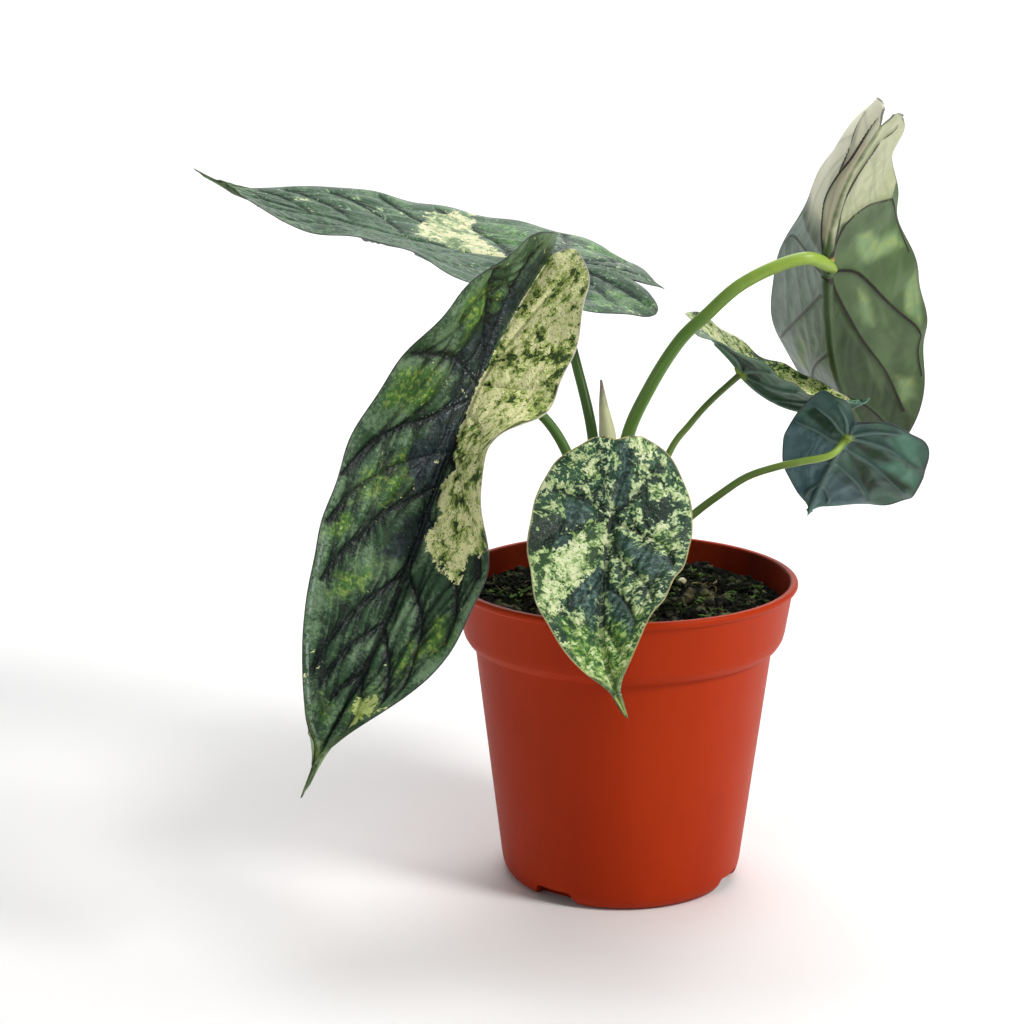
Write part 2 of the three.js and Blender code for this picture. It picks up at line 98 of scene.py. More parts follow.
def new_material(name):
    """Material with an empty node tree, and that tree."""
    material = bpy.data.materials.new(name)
    material.use_nodes = True
    material.node_tree.nodes.clear()
    return material, material.node_tree


def area_light(name, place, aim, size, power, colour):
    """Round lamp at a place, turned to its aim, all in metres and watts."""
    light = bpy.data.lights.new(name, "AREA")
    light.shape = "DISK"
    light.size = size
    light.energy = power
    light.color = colour
    lamp = bpy.data.objects.new(name, light)
    SCENE.collection.objects.link(lamp)
    lamp.location = place
    lamp.rotation_euler = (Vector(aim) - Vector(place)).to_track_quat("-Z", "Y").to_euler()


area_light("key_light", (0.95, -0.55, 0.95), (0, 0, 0.14), 0.4, 13.5, (1.0, 0.98, 0.95))
area_light("top_light", (0.05, -0.25, 1.4), (0, 0, 0.1), 0.7, 4.2, (1.0, 1.0, 1.0))
area_light("fill_light", (-0.9, -0.9, 0.6), (0, 0, 0.14), 1.2, 1.0, (0.95, 0.98, 1.0))
area_light("backdrop_light", (0, 1.0, 1.9), (0, 2.3, 0.5), 1.5, 34, (1.0, 1.0, 1.0))
area_light("back_light", (0.3, 1.0, 0.9), (0, 0, 0.16), 0.8, 2, (1.0, 1.0, 1.0))

world = bpy.data.worlds.new("studio")
world.use_nodes = True
sky = world.node_tree.nodes["Background"]
sky.inputs["Color"].default_value = (1, 1, 1, 1)
sky.inputs["Strength"].default_value = 0.22
SCENE.world = world


def make_object(name, points, faces, smooth=True):
    """Plain mesh object from points in millimetres."""
    mesh = bpy.data.meshes.new(name)
    mesh.from_pydata((np.asarray(points, float) * MM).tolist(), [], [tuple(f) for f in faces])
    mesh.polygons.foreach_set("use_smooth", [smooth] * len(mesh.polygons))
    mesh.update()
    piece = bpy.data.objects.new(name, mesh)
    SCENE.collection.objects.link(piece)
    return piece


def set_field(piece, name, values):
    """One value for each point of a piece, for its materials."""
    layer = piece.data.attributes.new(name, "FLOAT", "POINT")
    layer.data.foreach_set("value", np.asarray(values, np.float32))


def set_uv(piece, name, places):
    """UV map with one place for each point of a piece."""
    mesh = piece.data
    corners = np.zeros(len(mesh.loops), np.int32)
    mesh.loops.foreach_get("vertex_index", corners)
    layer = mesh.uv_layers.new(name=name)
    layer.data.foreach_set("uv", np.asarray(places, np.float32)[corners].ravel())


def walls(rings, sides):
    """Faces between neighbouring rings of points, given by the number of each ring's first point."""
    return [(a + s, a + (s + 1) % sides, b + (s + 1) % sides, b + s)
            for a, b in zip(rings[:-1], rings[1:]) for s in range(sides)]


def floor():
    """Pale sweep: a flat floor that rises far behind the plant."""
    profile = [(-3, 0), (1.2, 0), (1.6, 0.04), (1.95, 0.2), (2.1, 0.5), (2.15, 2.6)]
    points = [(x / MM, y / MM, z / MM) for y, z in profile for x in (-4, 4)]
    faces = [(2 * i, 2 * i + 1, 2 * i + 3, 2 * i + 2) for i in range(len(profile) - 1)]
    sweep = make_object("studio_floor", points, faces)
    material, tree = new_material("matt_white_backdrop_paper")
    paper = add(tree, {"Base Color": "f6f6f6", "Roughness": 0.9}, **SURFACE)
    add(tree, {"Surface": paper}, **OUTPUT)
    sweep.data.materials.append(material)


floor()


# Leaf form: the same rules as the solids, at a finer pitch
LOBE_SHARE, LATERAL_END, VEIN_SWEEP = 0.42, 0.84, 0.07
MIDRIB_SAMPLES, EDGE_SAMPLES = 241, 5401
BLADE_THICKNESS = 0.55
# How much finer a vein gets towards the tip, as a share
VEIN_TAPER = 1.2
FAR, TINY = 1e9, 1e-12

LEAVES = [
    dict(
        name="large_front_leaf", length=141.5, lobe=54.5, notch=51, half=31.5, widest=0.41, drip=0.1,
        lobe_width=0.28, inner=0.06, shoulder=0.8, left_share=1, junction=(-46.5, -55, 184), veins=7,
        relief=1.5, stem_radius=(2.4, 1.6),
        pose=[(-0.385, 226, -42, 52, 65, 50, 35, 26), (0, 234, -52, 44, 32, 36, 25, 14),
              (0.22, 238, -55, 26, 23, 52, 21, 17), (0.45, 238, -55, 33, 19, 36, 14, 5),
              (0.75, 230, -51, 30, 17, 30, 7, -9), (1, 212, -62, 2, 19, 54, 0, -12)],
        stem=[(-10.5, -3.5, 102.3), (-12, -5, 125), (-19, -10, 151), (-28, -22, 168), (-39, -42, 178)]),
    dict(
        name="large_back_leaf", length=128, lobe=44, notch=31, half=43, widest=0.29, drip=0.1,
        lobe_width=0.38, inner=0.1, shoulder=0.78, left_share=1, junction=(-29, 34, 212.5), veins=7,
        relief=1.3, stem_radius=(2.4, 1.7),
        pose=[(-0.35, 179, 29, 5, -2, -17, -17, 20), (0, 175, 5, 6, 4, -8, -5, 3),
              (0.4, 180, 14, 1, 9, 4, 6, 0), (0.75, 183, 17, 6, 5, 0, 10, -6),
              (1, 183, 29, -6, -8, 3, 6, -6)],
        stem=[(-9.5, 4.5, 102.3), (-9.5, 6.5, 128), (-11.5, 12, 154.5), (-17.5, 21, 178), (-24, 29, 199)]),
    dict(
        name="tall_right_leaf", length=119, lobe=60, notch=57, half=39, widest=0.35, drip=0.1,
        lobe_width=0.26, inner=0.06, shoulder=0.86, left_share=1, junction=(65.5, -11.5, 218), veins=6,
        relief=1.1, stem_radius=(2.6, 2.1),
        pose=[(-0.5, 140, -49, -35, 45, 87, 24, 67), (0, 87, -57, -9, 49, 58, 24, 31),
              (0.3, 74, -54, -4, 41, 39, 20, 12), (0.6, 60, -41, -1, 37, 25, 20, 6),
              (1, 61, -22, -19, 4, 4, 5, -2)],
        stem=[(-2.5, 6.5, 102.3), (-3, 7, 128), (0.5, 4, 155), (8.5, -3, 175), (17.5, -10, 191),
              (26, -15, 200.5), (36, -19, 210.5), (47.5, -20, 217), (58, -19, 220)]),
    dict(
        name="middle_right_leaf", length=48, lobe=26, notch=14, half=22.5, widest=0.34, drip=0.1,
        lobe_width=0.38, inner=0.1, shoulder=0.78, left_share=1, junction=(40, 8, 178), veins=5,
        relief=0.8, stem_radius=(1.7, 1.1),
        pose=[(-0.54, 17, -33, -8, -3, 10, 0, 0), (0, 7, -46, 0, 18, 19, 0, 0),
              (0.5, 0, -12, 0, 24, 26, 0, 0), (1, -4, 30, 2, 32, 28, 0, 0)],
        stem=[(2.2, 2.4, 102.3), (6, 3, 125), (15, 4, 150), (22, 5, 160), (29, 6, 168)]),
    dict(
        name="low_right_leaf", length=46, lobe=17, notch=9, half=29, widest=0.33, drip=0.14,
        lobe_width=0.5, inner=0.22, shoulder=0.855, left_share=0.64, junction=(74, -14, 160.5), veins=5,
        relief=0.8, stem_radius=(1.6, 1.2),
        pose=[(-0.37, 105, -35, -30, 5, 8, -10, 0), (0, 108, -42, -30, 0, 4, -15, 0),
              (0.5, 110, -48, -30, 0, 4, -10, 0), (1, 112, -58, -20, 0, 10, 0, 0)],
        stem=[(1.4, -3.8, 102.3), (10, -4.5, 118), (23, -6, 130.5), (32, -9, 138.5), (41, -12, 145.5),
              (51, -16, 150), (59, -19, 152.5), (68, -20, 155)]),
    dict(
        name="small_front_leaf", length=82, lobe=26, notch=25, half=26, widest=0.24, drip=0.15,
        lobe_width=0.38, inner=0.1, shoulder=0.78, left_share=1, junction=(-4, -57, 143), veins=6,
        relief=1.0, stem_radius=(1.7, 1.2),
        pose=[(-0.32, 275, -80, 25, 18, 0, 5, -5), (0, 262, -46, 13, 20, 12, 0, -5),
              (0.5, 271, -31, 0, 20, 26, 0, -5), (1, 300, -35, -18, 25, 45, 0, 0)],
        stem=[(-4.6, -6.5, 102.3), (-5, -14, 122), (-5, -28, 136), (-4.5, -45, 140)]),
]


def spline(points, count):
    """Uniform Catmull-Rom curve through the points, with count samples."""
    p = np.asarray(points, float)
    p = np.vstack([2 * p[0] - p[1], p, 2 * p[-1] - p[-2]])
    t = np.linspace(0, len(p) - 3, count)
    i = np.minimum(t.astype(int), len(p) - 4)
    t = (t - i)[:, None]
    a, b, c, d = p[i], p[i + 1], p[i + 2], p[i + 3]
    v0, v1 = (c - a) / 2, (d - b) / 2
    return (2 * b - 2 * c + v0 + v1) * t ** 3 + (-3 * b + 3 * c - 2 * v0 - v1) * t ** 2 + v0 * t + b


def even(points, shares):
    """Places along a fine polyline at shares of its length."""
    steps = np.linalg.norm(np.diff(points, axis=0), axis=1)
    along = np.concatenate([[0], np.cumsum(steps)])
    wanted = np.asarray(shares) * along[-1]
    return np.stack([np.interp(wanted, along, points[:, k]) for k in range(points.shape[1])], -1)


def pose_at(leaf, x):
    """Heading, pitch, roll, folds and curls at places along the midrib, in degrees."""
    rows = np.array(leaf["pose"], float)
    place, values = rows[:, 0] * leaf["length"], rows[:, 1:]
    last = len(place) - 1
    slopes = np.array([(values[min(k + 1, last)] - values[max(k - 1, 0)])
                       / (place[min(k + 1, last)] - place[max(k - 1, 0)]) for k in range(last + 1)])
    x = np.clip(x, place[0], place[-1])
    i = np.clip(np.searchsorted(place, x, side="left") - 1, 0, last - 1)
    span = (place[i + 1] - place[i])[:, None]
    t = ((x - place[i]) / span[:, 0])[:, None]
    return ((1 + 2 * t) * (1 - t) ** 2 * values[i] + t * (1 - t) ** 2 * span * slopes[i]
            + t * t * (3 - 2 * t) * values[i + 1] + t * t * (t - 1) * span * slopes[i + 1])


def midrib(leaf):
    """Point, side, face and bends along the midrib, as a table over x."""
    x = np.linspace(-leaf["lobe"], leaf["length"], MIDRIB_SAMPLES)
    angles = np.radians(pose_at(leaf, x))
    heading, pitch, roll = angles[:, 0], angles[:, 1], angles[:, 2]
    along = np.stack([np.cos(pitch) * np.cos(heading), np.cos(pitch) * np.sin(heading),
                      np.sin(pitch)], -1)
    flat_side = np.stack([np.sin(heading), -np.cos(heading), 0 * heading], -1)
    flat_face = np.cross(flat_side, along)
    cos_r, sin_r = np.cos(roll)[:, None], np.sin(roll)[:, None]
    side, face = flat_side * cos_r + flat_face * sin_r, flat_face * cos_r - flat_side * sin_r
    steps = (along[1:] + along[:-1]) * (x[1] - x[0]) / 2
    point = np.vstack([[0, 0, 0], np.cumsum(steps, axis=0)])
    table = np.hstack([point, side, face, angles[:, 3:]])
    at_zero = np.array([np.interp(0, x, table[:, k]) for k in range(3)])
    table[:, :3] += np.array(leaf["junction"]) - at_zero
    return x, table


def outline(leaf):
    """Edge of the right half of the flat leaf, from the bottom of the cleft round the lobe to the tip."""
    length, lobe, cleft, half = leaf["length"], leaf["lobe"], leaf["notch"], leaf["half"]
    widest, width = leaf["widest"], leaf["lobe_width"]
    after = [(widest + (1 - widest) * s) * length for s in (0.42, 0.72)]
    return spline([(-cleft, 0), (-(0.4 * cleft + 0.6 * lobe), leaf["inner"] * half), (-lobe, width * half),
                   (-0.72 * lobe, leaf["shoulder"] * half), (-0.12 * lobe, 0.97 * half),
                   (widest * length, half), (after[0], 0.74 * half), (after[1], 0.32 * half),
                   ((1 - leaf["drip"]) * length, 0.07 * half), (length, 0)], EDGE_SAMPLES)


def flat_place(leaf, edge, row, across):
    """Place on the flat half leaf: row runs from the cleft (-1) past the junction (0) to the tip (1)."""
    row, across = np.broadcast_arrays(np.asarray(row, float), np.asarray(across, float))
    lobe_row = 1 + np.minimum(row, 0)
    ahead = np.maximum(row, 0)
    foot = np.where(row < 0, -leaf["notch"] * (1 - lobe_row) ** 1.5, ahead * leaf["length"])
    rim = np.where(row < 0, LOBE_SHARE * lobe_row,
                   LOBE_SHARE + (LATERAL_END - LOBE_SHARE) * ahead + (1 - LATERAL_END) * ahead ** 8)
    end = even(edge, np.minimum(rim, 1))
    bend = (foot + end[..., 0]) / 2 - VEIN_SWEEP * np.abs(end[..., 1])
    p, q, r = (1 - across) ** 2, 2 * across * (1 - across), across ** 2
    return p * foot + q * bend + r * end[..., 0], q * end[..., 1] / 2 + r * end[..., 1]


def bent(leaf, rib, side, x, y, lift):
    """Places in space of flat places on one half: side is 1 for the right half and -1 for the left."""
    positions, table = rib
    t = np.stack([np.interp(x, positions, table[:, k]) for k in range(table.shape[1])], -1)
    point, right, face = t[..., 0:3], t[..., 3:6], t[..., 6:9]
    fold, curl = (t[..., 9], t[..., 11]) if side > 0 else (t[..., 10], t[..., 12])
    wide = y if side > 0 else y * leaf["left_share"]
    half = curl * wide / leaf["half"] / 2
    chord = wide * np.sinc(half / math.pi)
    out = chord * np.cos(fold + half) - lift * np.sin(fold + 2 * half)
    rise = chord * np.sin(fold + half) + lift * np.cos(fold + 2 * half)
    return point + side * right * out[..., None] + face * rise[..., None]


# Main veins of each half on the flat leaf, in millimetres from the junction: x to the tip, y outwards. They
# were measured on the halves that show and are mirrored, a little changed, on the halves that don't.
VEINS = {
    "large_front_leaf": dict(
        right=[
            [(0, 0), (-17, 4), (-32, 8), (-46, 12)], [(-9, 2), (-20, 13), (-27, 26)],
            [(0, 0), (-2, 9), (-1, 16), (6, 29)], [(5, 0), (17, 10), (24, 18), (32, 24), (46, 31)],
            [(24, 0), (29, 7), (36, 15), (49, 25), (61, 29)],
            [(36, 0), (51, 13), (60, 17), (70, 22), (79, 24)],
            [(66, 0), (75, 6), (85, 11), (97, 14), (106, 14)], [(82, 0), (94, 7), (107, 10), (116, 11)],
            [(100, 0), (107, 4), (117, 6), (123, 6)]
        ],
        left=[
            [(0, 0), (-15, 3), (-30, 7), (-46, 12)], [(-9, 2), (-24, 13), (-32, 24)],
            [(0, 0), (-1, 15), (-4, 28)], [(10, 0), (18, 11), (30, 22), (44, 30)],
            [(26, 0), (36, 14), (50, 24), (63, 28)], [(46, 0), (60, 16), (74, 23), (84, 23)],
            [(65, 0), (77, 11), (86, 14), (100, 16)], [(84, 0), (96, 8), (106, 12), (114, 11)],
            [(101, 0), (110, 5), (119, 6)]
        ]),
    "large_back_leaf": dict(
        right=[
            [(0, 0), (-15, 4), (-28, 9), (-40, 16)], [(-8, 2), (-22, 16), (-27, 30)],
            [(0, 0), (-4, 20), (-2, 39)], [(12, 0), (20, 16), (34, 30), (44, 38)],
            [(30, 0), (40, 15), (54, 27), (64, 33)], [(48, 0), (58, 13), (72, 22), (82, 24)],
            [(66, 0), (76, 10), (88, 15), (96, 16)], [(84, 0), (94, 7), (104, 9)],
            [(100, 0), (108, 4), (115, 4)]
        ],
        left=[
            [(0, 0), (-15, 4), (-25, 8), (-40, 14)], [(-8, 2), (-20, 15), (-30, 26)],
            [(0, 0), (-5, 19), (-4, 38)], [(10, 0), (18, 15), (30, 29), (42, 37)],
            [(27, 0), (38, 16), (52, 28), (62, 32)], [(45, 0), (56, 14), (70, 22), (80, 24)],
            [(63, 0), (73, 10), (85, 16), (94, 17)], [(82, 0), (92, 7), (102, 9)],
            [(98, 0), (106, 4), (113, 4)]
        ]),
    "tall_right_leaf": dict(
        right=[
            [(0, 0), (-13, 2), (-23, 1), (-34, 3), (-44, 6), (-50, 8), (-49, 21)],
            [(0, 0), (-13, 5), (-15, 16), (-8, 32)], [(-8, 32), (6, 37), (18, 37)],
            [(3, 0), (11, 12), (28, 22), (47, 31), (57, 33)], [(57, 33), (64, 30), (75, 27)],
            [(6, 0), (33, 9), (60, 16), (84, 16)], [(62, 0), (76, 6), (92, 9)]
        ],
        left=[
            [(0, 0), (-12, 6), (-20, 8), (-32, 5), (-43, 2), (-57, 3)], [(-33, 5), (-42, 7), (-50, 16)],
            [(6, 0), (8, 16), (14, 33), (20, 38)], [(14, 0), (18, 4), (33, 15), (55, 31)],
            [(40, 0), (58, 13), (76, 20)], [(66, 0), (80, 6), (94, 9)]
        ]),
    "middle_right_leaf": dict(
        right=[
            [(0, 0), (-8, 9), (-17, 13)], [(0, 0), (0, 10), (2, 19)], [(1, 0), (8, 8), (17, 18)],
            [(14, 0), (22, 8), (30, 12)], [(26, 0), (33, 5), (39, 5)]
        ],
        left=[
            [(0, 0), (-7, 8), (-16, 13)], [(0, 0), (-1, 10), (0, 20)], [(2, 0), (9, 9), (17, 18)],
            [(15, 0), (23, 8), (31, 11)], [(27, 0), (34, 4), (39, 5)]
        ]),
    "low_right_leaf": dict(
        right=[
            [(0, 0), (-8, 6), (-14, 14)], [(0, 0), (-4, 14), (-2, 25)],
            [(2, 0), (6, 2), (8, 12), (13, 26)], [(15, 0), (21, 11), (28, 17)],
            [(28, 0), (33, 4), (37, 5)]
        ],
        left=[
            [(0, 0), (-8, 5), (-14, 13)], [(0, 0), (-2, 6), (-5, 12), (-8, 24)],
            [(4, 0), (5, 6), (4, 16), (5, 27)], [(16, 0), (20, 10), (25, 18)], [(28, 0), (33, 4), (37, 5)]
        ]),
    "small_front_leaf": dict(
        right=[
            [(0, 0), (-10, 3), (-22, 7)], [(-1, 0), (-2, 8), (-2, 13), (-1, 22)],
            [(1, 0), (5, 4), (11, 12), (19, 20)], [(13, 0), (20, 4), (28, 10), (34, 19)],
            [(27, 0), (37, 7), (44, 14)], [(38, 0), (46, 6), (52, 11)], [(48, 0), (55, 5), (61, 6)]
        ],
        left=[
            [(0, 0), (-10, 2), (-22, 5)], [(0, 0), (-6, 6), (-12, 10), (-18, 16)],
            [(2, 0), (8, 11), (13, 18), (22, 22)], [(14, 0), (20, 7), (31, 14), (41, 17)],
            [(28, 0), (36, 7), (48, 11), (56, 9)], [(43, 0), (52, 3), (60, 5)]
        ]),
}

# Outlines of the sectors of each blade that differ in colour, on the same flat leaf, with y > 0 on its right
# half: cream has no green, lime a little, blue is smooth and bluish, dark is plain deep green, though on the
# two small right leaves some dark outlines are painted shade. On the underside painted glow is painted light in
# pale lobes that face away from the lamps, and blush is a pale pink tint, lifted in places with painted light.
# On the upper face painted glow marks where painted glints bead the edge, and blush where painted highlights
# lie on the shoulders of the veins.
SECTORS = {
    "large_front_leaf": dict(
        cream=[
            [(16, 4), (0, 4), (-48, 4), (-60, -4), (-57, -8), (-36, -32), (-20, -34), (2, -35),
             (24, -36), (48, -34), (56, -30), (60, -22), (66, -20), (61, -13), (59, -6), (52, -4),
             (47, -7), (36, -2), (32, -8), (22, -2)],
            [(108, -3), (106, -9), (110, -12), (115, -7)]
        ],
        lime=[
            [(-23, 28), (-27, 12), (-16, 12), (-8, 14), (-8, 23), (-16, 27)],
            [(10, 30), (3, 15), (13, 12), (20, 18), (24, 28)],
            [(26, 9), (38, 8), (49, 14), (54, 26), (42, 23), (32, 17)],
            [(86, 20), (77, 22), (70, 17), (64, 8), (75, 8)], [(64, 30), (54, 25), (58, 20), (66, 26)],
            [(84, -14), (72, -20), (84, -27), (92, -20)], [(98, -8), (84, -12), (88, -18), (100, -15)],
            [(107, -1), (103, -10), (110, -15), (119, -6)], [(110, 7), (113, 2), (120, 2), (116, 9)],
            [(124, -4), (124, 4), (144, 4), (144, -4)]
        ],
        blue=[
            [(-27, 7), (-46, 9), (-56, 4), (-30, 0), (-2, 0), (3, 8), (0, 14), (-13, 10)],
            [(1, 0), (38, 0), (41, 5), (32, 13), (14, 8), (3, 9)],
            [(42, 0), (58, 0), (63, 3), (64, 10), (50, 6)], [(38, 0), (62, 0), (63, -4), (50, -3)]
        ],
        # Painted glow: where painted glints bead the edge of the upper face, and painted light lifts the
        # underside
        painted_glow=[
            [(68, 32), (72, 18), (100, 10), (118, 4), (134, 1), (134, 8), (112, 20), (90, 28)]
        ],
        # Blush here marks where painted highlights lie on the shoulders of the veins near the junction
        blush_and_painted_light=[
            [(-6, 0), (-3, 9), (4, 10), (14, 15), (22, 12), (12, 2), (6, 0)],
            [(36, -1), (44, 5), (54, 5), (62, -1)]
        ]),
    "large_back_leaf": dict(
        cream=[
            [(48, 18), (45, 34), (31, 41), (29, 25), (24, 14), (14, 0), (30, 0), (40, 3), (47, 7)]
        ],
        lime=[
            [(29, 36), (14, 38), (8, 20), (13, 6), (24, 17)],
            [(-19, -24), (-26, -12), (-41, -10), (-44, -19), (-24, -36)],
            [(-10, 14), (-22, 20), (-30, 30), (-10, 36)]
        ],
        blue=[
            [(110, 0), (-6, 0), (-14, -8), (-8, -24), (16, -44), (50, -40), (90, -20)],
            [(50, 0), (100, 0), (90, 8), (60, 10)]
        ]),
    "tall_right_leaf": dict(
        cream=[
            [(-1, 1), (-14, 4), (-15, 16), (-8, 33), (-14, 40), (-40, 38), (-62, 10), (-60, 0), (-30, 0),
             (-15, 0)],
            [(-12, -3), (-8, -16), (0, -44), (-24, -40), (-48, -32), (-62, -12), (-60, 0), (-31, 0),
             (-15, 0)]
        ],
        # Painted light: this painted glow brightens the cream lobe that faces away from the lamps, standing in
        # for light through the thin leaf
        painted_glow=[
            [(-10, -8), (-3, -22), (3, -46), (-20, -52), (-56, -46), (-80, -14), (-78, 14), (-40, 12),
             (-18, 8)]
        ],
        # Blush: the pale pink tint of the strip between the costae, partly lifted with painted light where the
        # strip lies in shade
        blush_and_painted_light=[
            [(-7, 3), (-24, 5), (-38, 5), (-50, 2), (-50, -3), (-36, -6), (-22, -7), (-7, -4)]
        ],
        lime=[
            [(-4, 13), (-2, 20), (6, 26), (8, 36), (15, 36), (13, 27), (11, 18), (6, 14)],
            [(30, 33), (27, 38), (38, 39), (52, 34), (40, 30)], [(19, 13), (26, 17), (38, 17), (33, 13)],
            [(69, 19), (74, 24), (82, 22), (80, 17)], [(44, -19), (50, -15), (64, -19), (68, -28)]
        ],
        blue=[
            [(-1, 0), (119, 0), (100, -30), (20, -44), (8, -36), (3, -16)]
        ],
        dark=[
            [(12, 1), (28, 5), (46, 11), (68, 12), (86, 12), (90, 0), (58, 0), (30, 0)],
            [(68, 14), (80, 8), (100, 0), (100, 14), (84, 17)]
        ]),
    "middle_right_leaf": dict(
        cream=[
            [(-28, -1), (-28, -30), (50, -30), (46, -1), (20, -3)]
        ],
        # Painted shade: this dark outline is the shadow of the veins near the junction
        dark=[
            [(0, 0), (-8, 7), (-12, 14), (-4, 15), (3, 11), (7, 4)]
        ],
        blue=[
            [(6, 2), (20, 6), (30, 14), (14, 24), (8, 14)]
        ]),
    "low_right_leaf": dict(
        lime=[
            [(-7, 12), (-16, 14), (-12, 22), (-5, 25), (-2, 18)], [(8, 14), (0, 18), (2, 27), (8, 29)]
        ],
        dark=[
            [(8, 16), (5, 23), (9, 27), (15, 24), (13, 18)],
            # Painted shade: the small diamond is a dark spot painted where a gap shows shade, and the next
            # outline a shadow beside a vein
            [(-10.4, 10), (-9, 8.6), (-7.6, 10), (-9, 11.4)], [(1, 1), (6, 9), (3, 20), (0, 12)],
            [(-7, -22), (-6, -10), (0, -3), (3, -10), (-1, -26)],
            [(9, 4), (18, 10), (24, 16), (18, 18), (10, 10)]
        ],
        blue=[
            [(3, 0), (60, 0), (40, -30), (6, -34), (6, -8)], [(22, 0), (50, 0), (36, 20), (26, 16)]
        ]),
    "small_front_leaf": dict(
        cream=[
            [(1, 0), (8, 1), (20, 1), (29, 7), (40, 12), (48, 17), (38, 28), (26, 28), (21, 18),
             (16, 11), (12, 13), (6, 7)],
            [(-15, 14), (-17, 8), (-12, 4), (-9, 9)], [(-27, -6), (-25, -15), (-21, -13), (-18, -7)],
            [(8, -13), (3, -17), (6, -23), (13, -23), (18, -19), (13, -14)],
            [(-11, -10), (-12, -14), (-8, -17), (-6, -13)]
        ],
        lime=[
            [(44, -16), (44, 16), (84, 6), (84, -6)]
        ],
        blue=[
            [(1, 17), (-2, 8), (6, 7), (12, 13)], [(14, 17), (14, 12), (19, 12), (21, 17)],
            [(13, 0), (36, 0), (52, 3), (40, 5), (40, 10), (31, 9), (24, 4)],
            [(-24, -1), (-24, -6), (-13, -5), (-4, -4), (-2, 0)],
            [(8, -3), (15, -14), (17, -20), (26, -22), (28, -16), (16, -7)],
            [(27, -1), (32, -5), (42, -9), (50, -12), (56, -10), (48, -6), (37, -3)]
        ],
        dark=[
            [(-4, -9), (-8, -18), (-5, -22), (1, -18), (6, -11)], [(9, 13), (20, 18), (28, 26), (8, 26)]
        ]),
}


def rungs(leaf, veins, side, seed):
    """Lesser veins: rungs across the space between each main vein and the next."""
    rng = np.random.default_rng(seed)
    pitch = FORMS[leaf["name"]][2]
    samples = 80
    last = samples - 1
    lines = []
    for a, b in zip(veins[:-1], veins[1:]):
        first, second = spline(a, samples), spline(b, samples)
        count = max(3, int(np.linalg.norm(np.diff(first, axis=0), axis=1).sum() / pitch))
        for k in range(1, count + 1):
            place = (k - 0.4 + rng.uniform(-0.25, 0.25)) / (count + 0.4)
            near = first[int(last * np.clip(place, 0, 1))]
            far = second[int(last * np.clip(place + rng.uniform(-0.04, 0.08), 0, 1))]
            across = np.array([-(far - near)[1], (far - near)[0]])
            middle = (near + far) / 2 + across * rng.uniform(-0.16, 0.16)
            lines.append(spline([near, middle, far], 24))
    return lines


def nearest(lines, x, y):
    """Distance in millimetres from each place to the nearest point of the lines, sampled every 0.25 mm."""
    lengths = [np.linalg.norm(np.diff(line, axis=0), axis=1).sum() for line in lines]
    fine = np.vstack([even(np.asarray(line), np.linspace(0, 1, max(2, int(length / 0.25))))
                      for line, length in zip(lines, lengths)])
    tree = kdtree.KDTree(len(fine))
    for i, (a, b) in enumerate(fine):
        tree.insert((a, b, 0), i)
    tree.balance()
    found = [tree.find((a, b, 0))[2] for a, b in zip(x.ravel().tolist(), y.ravel().tolist())]
    return np.array(found).reshape(x.shape)


def sector_field(outlines, x, y, soft=2.4):
    """Field that is 0.5 on the outlines of some sectors. It runs to 1 inside and 0 outside over a few
    millimetres."""
    field = np.zeros_like(x)
    for corners in outlines:
        p = np.array(corners, float)
        inside = np.zeros(x.shape, bool)
        gap = np.full(x.shape, FAR)
        for (ax, ay), (bx, by) in zip(p, np.roll(p, -1, axis=0)):
            inside ^= ((ay > y) != (by > y)) & (x < (bx - ax) * (y - ay) / (by - ay + TINY) + ax)
            t = ((x - ax) * (bx - ax) + (y - ay) * (by - ay)) / ((bx - ax) ** 2 + (by - ay) ** 2 + TINY)
            t = np.clip(t, 0, 1)
            gap = np.minimum(gap, np.hypot(x - ax - t * (bx - ax), y - ay - t * (by - ay)))
        field = np.maximum(field, np.clip(0.5 + np.where(inside, gap, -gap) / (2 * soft), 0, 1))
    return field


def swells(x, y, seed):
    """Soft uneven swelling of the tissue, within about 1 either way, from waves 9 to 16 mm long in many
    directions."""
    rng = np.random.default_rng(seed)
    total = np.zeros_like(x)
    for size in (16, 13, 11, 9, 9, 12):
        turn, phase = rng.uniform(0, 2 * math.pi, 2)
        total += np.sin(2 * math.pi / size * (x * math.cos(turn) + y * math.sin(turn)) + phase)
    return total / 3.0


# The midrib of this leaf is as pale as its underside, so it isn't drawn, and its quilting is lower
PLAIN_MIDRIB = "tall_right_leaf"


